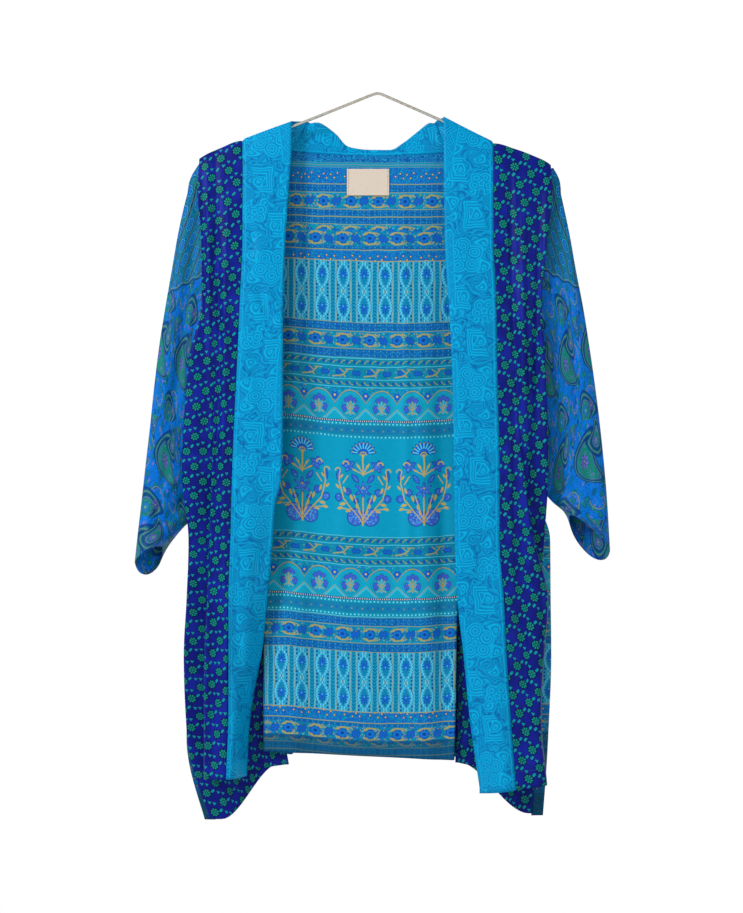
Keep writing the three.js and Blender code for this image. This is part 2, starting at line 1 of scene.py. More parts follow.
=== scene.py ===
import bpy, json
import numpy as np
from math import pi
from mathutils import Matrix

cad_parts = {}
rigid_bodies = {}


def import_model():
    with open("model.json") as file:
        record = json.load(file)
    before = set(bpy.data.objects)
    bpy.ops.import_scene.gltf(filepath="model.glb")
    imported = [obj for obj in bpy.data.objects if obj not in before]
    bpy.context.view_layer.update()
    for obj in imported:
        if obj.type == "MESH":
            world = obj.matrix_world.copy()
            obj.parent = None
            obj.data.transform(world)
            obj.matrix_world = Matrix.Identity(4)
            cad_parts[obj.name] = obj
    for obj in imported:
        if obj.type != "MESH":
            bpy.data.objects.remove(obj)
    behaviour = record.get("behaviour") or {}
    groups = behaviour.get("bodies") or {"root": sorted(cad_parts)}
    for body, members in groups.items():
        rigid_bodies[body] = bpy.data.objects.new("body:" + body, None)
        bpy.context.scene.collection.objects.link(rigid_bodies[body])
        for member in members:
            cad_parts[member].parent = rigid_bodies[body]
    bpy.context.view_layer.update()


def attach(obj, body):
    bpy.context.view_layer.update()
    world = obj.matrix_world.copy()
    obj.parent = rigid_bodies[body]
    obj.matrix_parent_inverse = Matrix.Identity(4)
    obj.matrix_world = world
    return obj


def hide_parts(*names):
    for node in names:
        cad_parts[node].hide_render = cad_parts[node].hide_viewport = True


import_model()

# ---- back panel -----------------------------------------------------------------
# One wide piece of teal printed silk from shoulders to hem, turned under at both
# sides to meet the fronts.  Its print lies in level borders that sag a little
# towards the middle, as the cloth does; the hem is turned up double, and it and
# the hanging corners below the fronts are darkened with painted shade.

# The form is the solids': tables with a row for each level and a named column
# for each measure, in millimetres, read on smooth curves.

def rows(names, text):
    data = np.array([[float(v) for v in line.split()] for line in text.strip().splitlines()])
    return dict(zip(names.split(), data.T))


def at(table, key, col, v):
    """A column's value at v, on a curve without overshoot."""
    x, y = table[key], table[col]
    if x[0] > x[-1]:
        x, y = x[::-1], y[::-1]
    s = np.diff(y) / np.diff(x)
    both = np.where(s[:-1] + s[1:] == 0, 1, s[:-1] + s[1:])
    m = np.where(s[:-1] * s[1:] > 0, 2 * s[:-1] * s[1:] / both, 0)
    m = np.concatenate([s[:1], m, s[-1:]])
    v = np.asarray(v, float)
    i = np.clip(np.searchsorted(x, v) - 1, 0, len(x) - 2)
    h = x[i + 1] - x[i]
    t = np.clip((v - x[i]) / h, 0, 1)
    return ((2 * t**3 - 3 * t**2 + 1) * y[i] + (t**3 - 2 * t**2 + t) * h * m[i]
            + (3 * t**2 - 2 * t**3) * y[i + 1] + (t**3 - t**2) * h * m[i + 1])


def smooth(a, b, v):
    """0 at a, 1 at b, with soft ends."""
    t = np.clip((np.asarray(v, float) - a) / (b - a), 0, 1)
    return t * t * (3 - 2 * t)


def lerp(a, b, t):
    return a + (b - a) * t


# Long folds hang from the shoulders and deepen towards the hem.
FRONT_FOLDS = rows("x lean half depth from to", """
    -196 -0.010 9 3.2 -90 -800
    -216 -0.020 8 -3.0 -220 -800
    -176 -0.020 9 -2.4 -330 -840
    -140 0.020 16 2.2 -120 -520
    152 0.030 8 2.6 -90 -800
    170 0.030 9 -3.2 -160 -840
    186 0.020 8 2.8 -120 -840
    118 0.010 16 1.8 -300 -840
""")
BACK_FOLDS = rows("x lean half depth from to", """
    -98 -0.010 15 -3.6 -110 -790
    -58 -0.030 18 2.6 -250 -790
    -8 -0.020 22 -2.2 -160 -790
    38 0.030 14 -3.8 -100 -790
    70 0.020 15 3.0 -200 -790
""")
# Creases are short soft troughs and ridges: from, to, half width, depth.
CREASES_BACK = rows("x0 z0 x1 z1 half depth", """
    -100 -90 -104 -420 7 -2.2
    -92 -110 -94 -300 5 1.5
    -72 -300 -80 -620 9 1.4
    -40 -420 -46 -760 8 -1.4
    -14 -200 -18 -560 10 1.2
    20 -110 24 -420 8 -1.4
    32 -120 38 -700 5 -2.0
    40 -140 47 -640 5 1.7
    62 -260 70 -600 8 -1.4
    78 -480 82 -770 7 1.5
    -60 -150 -20 -190 9 1.0
    10 -170 50 -150 9 -0.8
    -90 -560 -98 -770 6 -1.4
""")
# The line of the shoulders and the neck: height and depth at each x.
SHOULDER = rows("x z y", """
    -222 -86 1
    -214 -76.5 1
    -190 -64.5 1
    -164 -55.5 1
    -156 -57.6 3.6
    -140 -61.6 6.8
    -107 -66.6 10.2
    -80 -69.2 11.6
    -57 -70.6 12.2
    -12 -72 12.4
    50 -70.6 12.2
    86 -68.4 10.6
    114 -65 7.6
    132 -62 3.8
    140 -58.6 1
    165 -65.3 1
    191 -75.2 1
    203 -81 1
    212 -88.5 1
""")
# At each level z: where the cloth turns (turn, tuck, wrap) and ends (side), and
# the depths yT to yE of its layers there.  R is the wearer's right side.
BACK_R = rows("z turn tuck wrap side yT yU yV yE", """
    -56 -130 -154 -215 -211 1 1 1 1
    -60 -130 -154 -215 -211 3.3 3.3 3.2 2.9
    -91 -130 -154 -215 -209 8 7.6 7.2 4.4
    -172 -136 -158 -208 -203 12 11.5 11 6.4
    -247 -139 -163 -203 -197 13 13 12.5 8
    -319 -144 -168 -198 -192 13 14 13 7.6
    -403 -148 -166 -193 -186 13 14 13.5 6
    -457 -149 -161 -193 -184 12 14 14 3.8
    -535 -146 -146 -204 -193 10 13 16 9.7
    -607 -142 -132 -218 -205 7 11 20 16.7
    -667 -138 -122 -231 -219 5 9.5 23.5 22.2
    -739 -138 -112 -232 -224 4 9 25 23.2
    -821 -138 -103 -210 -197.5 4 9 26 23.7
""")
BACK_L = rows("z turn tuck wrap side yT yU yV yE", """
    -56 110 134 208 204 1 1 1 1
    -60 110 134 208 204 3.3 3.3 3.2 2.9
    -91 110 137 208 201 8 7.6 7.2 4.4
    -172 110 139 200 195 12 11.5 11 6.4
    -247 112 144 192 185 13 13 12.5 8
    -319 113 149 187 180 13 14 13 7.6
    -403 110 142 181 174 13 14 13.5 6
    -457 106 132 181 172 12 14 14 3.8
    -535 100 101 208 187 10 13 16 7.7
    -607 97 89 209 190 7 11 20 15.2
    -667 95 85 210 190 5 9.5 23.5 21.7
    -739 94 84 206.5 190 4 9 25 22.7
    -821 92 83 200 186 4 9 26 23.7
""")
# Height of the hem at the right edge, at each turn, and at the left edge.
BACK_DROP = (-876, -795, -791, -802, -800, -871)


def fold(table, x, z):
    """Depth of the long folds; each grows over 320 mm and fades by the hem."""
    grown_over, fade, fade_above, fade_below = 320, 0.4, 80, 40
    y = np.zeros_like(x)
    for at_x, lean, half, depth, top, foot in zip(*table.values()):
        grow = smooth(top, top - grown_over, z)
        grow = grow * (1 - fade * smooth(foot + fade_above, foot - fade_below, z))
        d = (x - at_x - lean * (top - z)) / half
        y += depth * grow * np.exp(-d * d)
    return y


def crease(table, x, z):
    """Depth of the short creases, each a little wavy and soft at both ends."""
    waver, waves = 0.12, 9
    y = np.zeros_like(x)
    for x0, z0, x1, z1, half, depth in zip(*table.values()):
        dx, dz = x1 - x0, z1 - z0
        long = np.hypot(dx, dz)
        s = ((x - x0) * dx + (z - z0) * dz) / long / long
        d = ((x - x0) * dz - (z - z0) * dx) / long + waver * half * np.sin(waves * s)
        y += depth * np.exp(-(d / half) ** 2) * smooth(-0.25, 0.3, s) * smooth(1.25, 0.7, s)
    return y


def settle(p, near_front=None, near_back=None):
    """Front layers take the front folds and creases, back layers the back ones."""
    front_depth, back_depth = -19, 3
    x, y, z = p[..., 0], p[..., 1], p[..., 2]
    w = smooth(front_depth, back_depth, y)
    f = fold(FRONT_FOLDS, x, z)
    b = fold(BACK_FOLDS, x, z)
    if near_front is not None:
        f = f + crease(near_front, x, z)
    if near_back is not None:
        b = b + crease(near_back, x, z)
    p = p.copy()
    p[..., 1] = y + (1 - w) * f + w * b
    return p


def section(stops, counts, bend=3.2, turn=5, sag=None):
    """One level of the cloth.  A stop is a turn: x, depth before, depth after, z.
    counts are the steps between stops, bend is a turn's radius in mm, turn the
    steps in each half of it, and sag shifts where a layer's hem drops."""
    pts = []
    last = len(stops) - 1

    def soft(d):
        return d / np.hypot(d, bend)

    fx, fy, fz = stops[0][0], stops[0][2], stops[0][3]
    pts.append((fx, fy, fz))
    for k in range(1, last + 1):
        x, y0, y1, z = stops[k]
        hx = x if k == last else x - bend * soft(x - stops[k - 1][0])
        for i in range(1, counts[k - 1] + 1):
            t = i / counts[k - 1]
            drop = float(smooth(*sag[k], t)) if sag and k in sag else t
            pts.append((lerp(fx, hx, t), lerp(fy, y0, t), lerp(fz, z, drop)))
        if k == last:
            break
        nx = x + bend * soft(stops[k + 1][0] - x)
        mid = (y0 + y1) / 2
        for i in range(1, turn + 1):
            a = i / turn * pi / 2
            pts.append((lerp(hx, x, np.sin(a)), lerp(y0, mid, 1 - np.cos(a)), z))
        for i in range(1, turn + 1):
            a = i / turn * pi / 2
            pts.append((lerp(x, nx, 1 - np.cos(a)), lerp(mid, y1, np.sin(a)), z))
        fx, fy, fz = nx, y1, z
    return pts


def arc_u(grid, start):
    """Distance across the cloth from one column, in mm."""
    d = np.zeros(grid.shape[:2])
    d[:, 1:] = np.cumsum(np.linalg.norm(np.diff(grid, axis=1), axis=2), axis=1)
    return d - d[:, start:start + 1]


def upright(u, grid, anchor, free, fixed):
    """Keeps the print upright on an outer layer (from column fixed outwards), and
    lets the hidden layer between columns free and fixed take up the difference."""
    level = 40
    slip = (grid[:, anchor, 0] - grid[level, anchor, 0]) - (u[:, anchor] - u[level, anchor])
    part = np.clip((np.arange(u.shape[1]) - free) / (fixed - free), 0, 1)
    return u + slip[:, None] * part


def unit(v):
    return v / np.maximum(np.linalg.norm(v, axis=-1, keepdims=True), 1e-9)


def shell(name, grid, uv, material, ring=False, thick=0.7, uv_wrap=None):
    """grid[row, column] in mm to a closed thin mesh in metres, with its UVs."""
    rows_down, columns = grid.shape[:2]
    if ring:
        g = np.concatenate([grid[:, -1:], grid, grid[:, :1]], axis=1)
        across = g[:, 2:] - g[:, :-2]
    else:
        across = np.gradient(grid, axis=1)
    n = unit(np.cross(across, np.gradient(grid, axis=0)))
    skins = np.stack([grid + n * thick / 2, grid - n * thick / 2]).reshape(-1, 3) / 1000
    vertex = np.arange(2 * rows_down * columns).reshape(2, rows_down, columns)
    if ring:
        vertex = np.concatenate([vertex, vertex[:, :, :1]], axis=2)
        uv = np.concatenate([uv, uv_wrap[:, None]], axis=1)
    corner = np.arange(vertex.size).reshape(vertex.shape)
    flat_uv = np.concatenate([uv.reshape(-1, 2)] * 2)

    def quads(a, b, c, d):
        return np.stack([a, b, c, d], axis=-1).reshape(-1, 4)

    o, i = corner
    parts = [
        quads(o[:-1, :-1], o[:-1, 1:], o[1:, 1:], o[1:, :-1]),
        quads(i[:-1, :-1], i[1:, :-1], i[1:, 1:], i[:-1, 1:]),
        quads(o[0, :-1], i[0, :-1], i[0, 1:], o[0, 1:]),
        quads(o[-1, :-1], o[-1, 1:], i[-1, 1:], i[-1, :-1]),
    ]
    if not ring:
        parts += [
            quads(o[:-1, 0], o[1:, 0], i[1:, 0], i[:-1, 0]),
            quads(o[:-1, -1], i[:-1, -1], i[1:, -1], o[1:, -1]),
        ]
    q = np.concatenate(parts)
    v = vertex.reshape(-1)[q]
    a, b, c, d = (skins[v[:, k]] for k in range(4))
    volume = (a * np.cross(b, c) + a * np.cross(c, d)).sum()
    if volume < 0:          # the skins face inwards, so each face is turned over
        q, v = q[:, ::-1], v[:, ::-1]
    mesh = bpy.data.meshes.new(name)
    mesh.vertices.add(len(skins))
    mesh.vertices.foreach_set("co", skins.ravel())
    mesh.loops.add(v.size)
    mesh.loops.foreach_set("vertex_index", v.ravel())
    mesh.polygons.add(len(v))
    mesh.polygons.foreach_set("loop_start", np.arange(0, v.size, 4))
    mesh.update(calc_edges=True)
    layer = mesh.uv_layers.new(name="cloth")
    layer.data.foreach_set("uv", flat_uv[q.ravel()].ravel())
    mesh.polygons.foreach_set("use_smooth", np.ones(len(v), bool))
    mesh.validate()
    mesh.materials.append(material)
    o = bpy.data.objects.new(name, mesh)
    bpy.context.scene.collection.objects.link(o)
    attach(o, "root")
    return o


def area(grid, ring=False):
    """Flat area of the cloth in square metres."""
    g = np.concatenate([grid, grid[:, :1]], axis=1) if ring else grid
    a = np.cross(g[1:, 1:] - g[:-1, :-1], g[:-1, 1:] - g[1:, :-1])
    return float(np.linalg.norm(a, axis=2).sum() / 2e6)


def cloth(o, node_name, grid, flat, ring=False):
    """A sewn piece: hides the solid it dresses, and prints its area beside its cut's."""
    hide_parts(node_name)
    a = round(area(grid, ring), 4)
    print(o.name, "area", a, "of", round(flat[0] * flat[1], 4))


def hem_drop(z, drop, foot):
    """How far a level has sunk below the straight one, growing from -600 down."""
    return drop * smooth(-600, foot, z)


def shoulder(p, top, z, neck=False):
    """The top rows take the line of the shoulder and neck."""
    eased_over = 150
    w = 1 - smooth(top, top - eased_over, z)
    p = np.array(p)
    p[:, 2] += w * (at(SHOULDER, "x", "z", p[:, 0]) - top)
    if neck:
        p[:, 1] = np.maximum(p[:, 1], lerp(p[:, 1], at(SHOULDER, "x", "y", p[:, 0]), w))
    return p


ROWS_DOWN = 150


def levels(table, n):
    """Heights of the mesh's rows: three over the shoulder seam, then n to the hem."""
    seam, top, foot = table["z"][0], table["z"][1], table["z"][-1]
    t = np.arange(1, n + 1) / n
    return np.concatenate([[seam, lerp(seam, top, 0.5), top], lerp(top, foot, t**1.02)])


def row_of(table, key, names, v):
    """The named columns' values at v."""
    return {c: float(at(table, key, c, v)) for c in names.split()}


# All the cloth is thin printed silk.  A print is worked out from the cloth's own
# flat measures, so it follows every fold.
def sign(kind):
    """An arithmetic sign between two numbers, and the same with them turned round."""
    return lambda a, b: a.op(kind, b), lambda a, b: Value(b).op(kind, a)


class Value:
    """A number in a material, with arithmetic."""
    tree = None
    __add__, __radd__ = sign("ADD")
    __sub__, __rsub__ = sign("SUBTRACT")
    __mul__, __rmul__ = sign("MULTIPLY")
    __truediv__ = sign("DIVIDE")[0]

    def __init__(self, v):
        self.v = v.v if isinstance(v, Value) else v

    def __abs__(self):
        return self.op("ABSOLUTE")

    def op(self, kind, *others):
        return node("ShaderNodeMath", {"operation": kind}, dict(enumerate((self,) + others)))


def node(kind, settings=None, inputs=None, out=0):
    n = Value.tree.nodes.new(kind)
    for k, v in (settings or {}).items():
        setattr(n, k, v)
    for k, v in (inputs or {}).items():
        v = v.v if isinstance(v, Value) else v
        if isinstance(v, bpy.types.NodeSocket):
            Value.tree.links.new(v, n.inputs[k])
        else:
            n.inputs[k].default_value = v
    return Value(n.outputs[out])


def rule(kind):
    """A function of one or two numbers."""
    return lambda a, *others: Value(a).op(kind, *others)


sin, cos, fract, floor = (rule(kind) for kind in ("SINE", "COSINE", "FRACT", "FLOOR"))
least, most, step = (rule(kind) for kind in ("MINIMUM", "MAXIMUM", "GREATER_THAN"))


def length(a, b):
    return (a * a + b * b).op("SQRT")


def angle(a, b):
    return Value(b).op("ARCTAN2", a)


def ease(a, lo, hi):
    """0 below lo, 1 above hi, soft between; lo may be the greater."""
    ends = {1: lo, 2: hi, 3: 0.0, 4: 1.0} if lo < hi else {1: hi, 2: lo, 3: 1.0, 4: 0.0}
    return node("ShaderNodeMapRange", {"interpolation_type": "SMOOTHSTEP"}, {0: a, **ends})


def line(d, w, soft=0.25):
    """1 on a line of half width w along d = 0."""
    return ease(abs(d), w + soft, w - soft)


def blob(d, soft=0.25):
    """1 where the distance d is negative."""
    return ease(d, soft, -soft)


def colour(r, g, b):
    """A colour given as it looks on a screen, 0 to 255."""
    def light(c):
        return ((c / 255 + 0.055) / 1.055) ** 2.4 if c > 10 else c / 255 / 12.92

    return (light(r), light(g), light(b), 1.0)


def paint(base, over, mask):
    """Lays one colour over another where the mask is 1."""
    return node("ShaderNodeMix", {"data_type": "RGBA", "clamp_factor": True}, {0: mask, 6: base, 7: over}, 2)


def wave(u, period, phase=0.0):
    """Distance from the middle of the nearest repeat: -period/2 to period/2."""
    return (fract(u / period + 0.5 + phase) - 0.5) * period


def noise(u, v, size, seed=0.0, detail=1.0):
    """Soft uneven values about 0.5, in patches of about that size."""
    p = node("ShaderNodeCombineXYZ", None, {0: u / size, 1: v / size, 2: seed})
    look = {"Vector": p, "Scale": 1.0, "Detail": detail, "Roughness": 0.5}
    return node("ShaderNodeTexNoise", {"noise_dimensions": "3D"}, look)


def crumbs(u, v, size, seed):
    """Scattered small leaves: distance to the nearest, and a number for each."""
    p = node("ShaderNodeCombineXYZ", None, {0: u / size, 1: v / size, 2: seed})
    n = Value.tree.nodes.new("ShaderNodeTexVoronoi")
    n.voronoi_dimensions = "2D"
    n.inputs["Scale"].default_value = 1.0
    n.inputs["Randomness"].default_value = 0.8
    Value.tree.links.new(p.v, n.inputs["Vector"])
    sep = Value.tree.nodes.new("ShaderNodeSeparateColor")
    Value.tree.links.new(n.outputs["Color"], sep.inputs[0])
    return Value(n.outputs["Distance"]) * size, Value(sep.outputs[0]), Value(sep.outputs[1])


def seg(x, y, x0, y0, x1, y1):
    """Distance from a straight stroke."""
    dx, dy = x1 - x0, y1 - y0
    n = dx * dx + dy * dy
    px, py = x - x0, y - y0
    t = least(most((px * dx + py * dy) * (1 / n), 0), 1)        # 0 and 1 at the ends
    return length(px - t * dx, py - t * dy)


def turned(x, y, a):
    """A place counted along and across a direction."""
    ca, sa = np.cos(a), np.sin(a)
    return x * ca + y * sa, y * ca - x * sa


def leaf(x, y, cx, cy, a, long, wide):
    """A pointed leaf about (cx, cy), long way along angle a: negative inside."""
    p, q = turned(x - cx, y - cy, a)
    return abs(q) - wide * (1 - (p / long) * (p / long))


def lobed(x, y, size, notch, petals):
    """A round flower with petals: negative inside."""
    return length(x, y) - (size + notch * cos(angle(x, y) * petals))


def cloth_uv():
    """Flat place on the cloth in millimetres: across and down."""
    n = Value.tree.nodes.new("ShaderNodeUVMap")
    n.uv_map = "cloth"
    sep = Value.tree.nodes.new("ShaderNodeSeparateXYZ")
    Value.tree.links.new(n.outputs[0], sep.inputs[0])
    return Value(sep.outputs[0]) * 1000, Value(sep.outputs[1]) * 1000


def silk(name, draw, rough=0.42):
    """Printed silk: draw(u, v) gives the colour of each place."""
    m = bpy.data.materials.new(name)
    m.use_nodes = True
    Value.tree = m.node_tree
    shader = m.node_tree.nodes["Principled BSDF"]
    waver, patch, warp_apart, weft_apart = 2.2, 21, 0.55, 0.62
    u, v = cloth_uv()
    # the print wavers by up to a millimetre, as it does on soft cloth
    wavering_u = u + (noise(u, v, patch, 3.0) - 0.5) * waver
    wavering_v = v + (noise(u, v, patch, 7.0) - 0.5) * waver
    base = draw(wavering_u, wavering_v)
    # threads: fine crossed ribs, and slight bands where the yarn is thicker
    warp, weft = sin(u * (2 * pi / warp_apart)), sin(v * (2 * pi / weft_apart))
    slub = noise(u * 0.12, v, 1.6, 1.0, 2.0) - 0.5
    shade = 1 + slub * 0.16 + warp * weft * 0.05
    grey = node("ShaderNodeCombineColor", None, {0: shade, 1: shade, 2: shade})
    shaded = {0: 1.0, 6: base, 7: grey}
    base = node("ShaderNodeMix", {"data_type": "RGBA", "blend_type": "MULTIPLY"}, shaded, 2)
    Value.tree.links.new(base.v, shader.inputs["Base Color"])
    Value.tree.links.new((Value(rough) + slub * 0.12).v, shader.inputs["Roughness"])
    shader.inputs["IOR"].default_value = 1.16
    # fine creases of worn silk, a millimetre or two across, under the threads
    rumple = noise(u * 0.45, v, 26, 5.0, 2.0) * 1.4 + noise(u, v * 0.5, 9, 9.0, 1.0) * 0.35
    h = rumple + slub * 0.05 + (warp + weft) * 0.012
    bump = node("ShaderNodeBump", None, {"Strength": 0.8, "Distance": 0.001, "Height": h})
    Value.tree.links.new(bump.v, shader.inputs["Normal"])
    return m


# The print's borders lie at levels counted in steps of 1.2 mm down the cloth.
# Below the bushes the borders above them come again, and then in turned order.
PITCH, FIRST, HELD, CLOSER = 1.2, 94, 457, 0.992
AGAIN_FROM, AGAIN, TURNED_FROM, TURNED = 529.5, 177, 608.7, 1140
FACING, FLOWERS, MEDALLIONS, ROSES = 162.2, 215.5, 288, 335.4
VINE, ARCHES, BEADS, BUSHES, HEM = 367.5, 398, 424, 477.5, 733
cyan, blue, gold = colour(84, 196, 228), colour(14, 92, 186), colour(160, 154, 88)
navy, teal = colour(4, 58, 134), colour(4, 122, 150)
ground, violet = colour(3, 136, 176), colour(58, 92, 196)


def back_print(x, v):
    """The borders, drawn over each other from the neck down to the hem."""
    y = HELD + (v / PITCH + FIRST - HELD) * CLOSER
    w = y - AGAIN * step(y, AGAIN_FROM)
    w = w + (TURNED - 2 * y) * step(y, TURNED_FROM)
    small_d, small_a, small_b = crumbs(x, v, 3.4, 1.0)
    leaf_d = crumbs(x * 0.8, v, 5.2, 7.0)[0]
    mist = noise(x, v, 40, 6.0)
    lace = abs(fract(noise(x, v, 4.2, 9.0, 1.0) * 4.0) - 0.5)

    def inside(d, half):
        return ease(abs(d), half + 0.2, half - 0.2)

    def filled(c, here, a=0.5, b=0.62, strength=0.9):
        """A border's ground: leaves of blue, teal and gold between the motifs."""
        c = paint(c, teal, here * ease(leaf_d, 1.9, 1.4) * strength)
        c = paint(c, blue, here * blob(small_d - 1.15, 0.4) * ease(small_a, a, a + 0.02) * strength)
        c = paint(c, gold, here * blob(small_d - 0.8, 0.35) * ease(small_b, b, b + 0.02) * strength)
        return paint(c, cyan, here * blob(small_d - 0.6, 0.35) * ease(small_b, 0.16, 0.12) * strength)

    def squares(c, d, half):
        """A row of boxes with a dot in each, between two gold lines."""
        strip, frame_blue, box_blue = colour(6, 112, 158), colour(8, 88, 166), colour(24, 138, 200)
        here = inside(d, half)
        p, q = wave(x, 6.9), d * PITCH
        c = paint(c, strip, here)
        box = most(abs(p), abs(q) * (2.7 / (half * PITCH - 1.4)))
        c = paint(c, frame_blue, here * ease(box, 2.9, 2.5))
        c = paint(c, box_blue, here * ease(box, 2.0, 1.7) * ease(lace, 0.22, 0.1))
        c = paint(c, navy, here * blob(length(p, q) - 0.8, 0.35) * 0.6)
        c = paint(c, cyan, here * blob(length(abs(p) - 3.4, abs(q) - half * 0.55) - 0.6, 0.35) * 0.5)
        return paint(c, gold, line((abs(d) - half) * PITCH, 0.36, 0.3) * 0.8)

    def rose(c, d, half, phase=0.0):
        """A row of roses between leaves, each in a pair of gold hooks."""
        here = inside(d, half)
        p, q = wave(x, 33, phase), d * PITCH
        c = filled(paint(c, colour(4, 134, 166), here * 0.7), here)
        r, a = length(p * 0.85, q), angle(p, q)
        hook = line(length(p * 0.8, q) - 7.2, 0.75, 0.4)
        hook = most(hook, line(length((p - 4) * 0.62, q) - 7.0, 0.5, 0.4))
        c = paint(c, gold, here * hook * ease(abs(q), 3.2, 4.2) * ease(abs(p), 13, 12))
        leaves = least(leaf(p, q, 14, 0, 1.3, 5.2, 2.6), leaf(p, q, -14.5, 0.5, 1.3, 5.2, 2.6))
        for motif in (leaves, r - (4.9 + 0.8 * cos(a * 7))):
            c = paint(c, navy, here * blob(motif - 0.5, 0.4))
            c = paint(c, blue, here * blob(motif, 0.3))
        c = paint(c, colour(14, 122, 206), here * line(r - 3.2, 0.5, 0.3))
        return paint(c, navy, here * blob(r - 1.4, 0.4))

    def sprinkled(c, d, half):
        """Small gold flowers on a blue ground with teal curls."""
        here = inside(d, half)
        p, q = wave(x, 31), d * PITCH
        c = paint(c, colour(12, 98, 180), here)
        curl = abs(fract(noise(x, v, 6.5, 3.0, 1.0) * 5.5) - 0.5)
        c = paint(c, colour(10, 146, 184), here * ease(curl, 0.2, 0.09) * 0.9)
        for gx, gy in ((0, -3), (4.5, 1.2), (-3.8, 2.4), (9, -2.5), (-9.5, -1.0), (12.5, 3.2)):
            k = length(p - gx, q - gy)
            c = paint(c, navy, here * blob(k - 1.7, 0.3))
            c = paint(c, colour(206, 172, 96), here * blob(k - 1.0, 0.3))
        return c

    def upper_rows(c):
        """The rows under the neck, the same above and below their middle line."""
        d = abs(w - FLOWERS)
        c = filled(c, ease(d, 47, 48))
        c = paint(c, teal, ease(d, 48.6, 49.0) * ease(d, 53.2, 52.8))
        c = paint(c, cyan, most(line((d - 50) * PITCH, 0.4, 0.3), line((d - 52) * PITCH, 0.4, 0.3)) * 0.7)
        c = squares(c, d - 3.75, 3.6)
        c = rose(c, d - 15.25, 7.4)
        c = squares(c, d - 27.9, 4.1)
        c = sprinkled(c, d - 40.4, 8.2)
        return paint(c, gold, line((d - 32.2) * PITCH, 0.4, 0.3) * 0.8)

    def facing(c):
        """The facing inside the neck: swirls on blue over a ruled teal stripe."""
        here = ease(y, FACING + 0.2, FACING - 0.2)
        swirl = abs(wave(noise(x, v, 9, 12.0, 1.0) * 30, 3.4))
        c = paint(c, colour(16, 100, 172), here)
        c = paint(c, colour(16, 150, 184), here * line(swirl, 0.45, 0.4))
        c = paint(c, navy, here * line(swirl - 1.5, 0.3, 0.4) * 0.6)
        stripe = ease(y, FACING - 0.4, FACING) * ease(y, FACING + 4.8, FACING + 4.4)
        c = paint(c, colour(6, 136, 172), stripe)
        return paint(c, gold, stripe * line(wave(y * PITCH, 2.9), 0.3, 0.3) * 0.6)

    def medallions(c):
        """Medallions in pairs, one over the other, between columns of chevrons."""
        apart, shift = 25.4, 16.6
        m = paint(colour(30, 152, 192), colour(46, 164, 200), mist)
        p = wave(x + shift, apart)
        dy = (abs(w - MEDALLIONS) - 15.0) * PITCH
        m = paint(m, gold, ease(abs(abs(p) - 8.6), 0.8, 0.45) * 0.6)
        dots = ease(abs(abs(p) - 6.6), 1.2, 0.9) * ease(abs(wave(w * PITCH, 4.4)), 1.4, 1.1)
        m = paint(m, navy, dots * ease(abs(dy), 7.0, 9.0) * 0.9)
        m = paint(m, colour(104, 204, 226), line(abs(p) - 2.0, 0.5, 0.4) * ease(abs(dy), 14.0, 15.0))
        m = paint(m, gold, blob(abs(p) - 1.2, 0.4) * ease(abs(dy), 15.0, 16.0) * 0.7)
        # a pointed oval with a frilled edge, and a palmette of small leaves inside
        tall = 1 - (dy / 15.6) * (dy / 15.6)
        oval = abs(p) - 8.0 * (most(tall, 0) + 0.001).op("POWER", 0.85) - 0.8 * sin(dy * 1.9)
        m = paint(m, colour(6, 96, 142), blob(oval - 0.9, 0.4))
        m = paint(m, cyan, blob(oval, 0.35))
        m = paint(m, colour(8, 126, 172), blob(oval + 2.0, 0.35))
        m = paint(m, cyan, line(oval + 3.0, 0.35, 0.35) * 0.6)
        palm_r, palm_a = length(p, dy - 2.0), angle(dy - 2.0, p)
        palm = palm_r - (3.6 + 1.5 * cos(palm_a * 7)) * ease(dy, 6.5, 3.5) - 0.2
        m = paint(m, navy, blob(palm - 0.5, 0.35))
        m = paint(m, colour(16, 96, 196), blob(palm, 0.3))
        m = paint(m, colour(70, 180, 224), blob(length(p, dy + 0.2) - 0.9, 0.35))
        m = paint(m, blue, blob(length(abs(p) - 2.6, dy - 6.2) - 1.4, 0.35))
        m = paint(m, navy, line(p, 0.35, 0.3) * ease(dy, 2, 3) * ease(dy, 10, 9))
        h = wave(x + shift, apart, 0.5)
        column = ease(abs(h), 2.9, 2.6)
        chevrons = abs(fract((w * PITCH - abs(h)) / 4.2) - 0.5)
        m = paint(m, colour(8, 140, 176), column)
        m = paint(m, navy, column * ease(chevrons, 0.2, 0.1) * 0.75)
        m = paint(m, cyan, line(abs(h) - 2.9, 0.3, 0.3) * 0.7)
        c = paint(c, m, step(w, MEDALLIONS - 30))
        return paint(c, gold, line((w - MEDALLIONS + 29.8) * PITCH, 0.45, 0.3))

    def roses(c):
        """Roses between two rows of boxes."""
        here = step(w, ROSES - 17.4)
        c = paint(c, ground, here)
        away = (1 - here) * 99
        c = rose(c, w - ROSES + away, 7.4, 0.3)
        return squares(c, abs(w - ROSES) - 12.9 + away, 4.3)

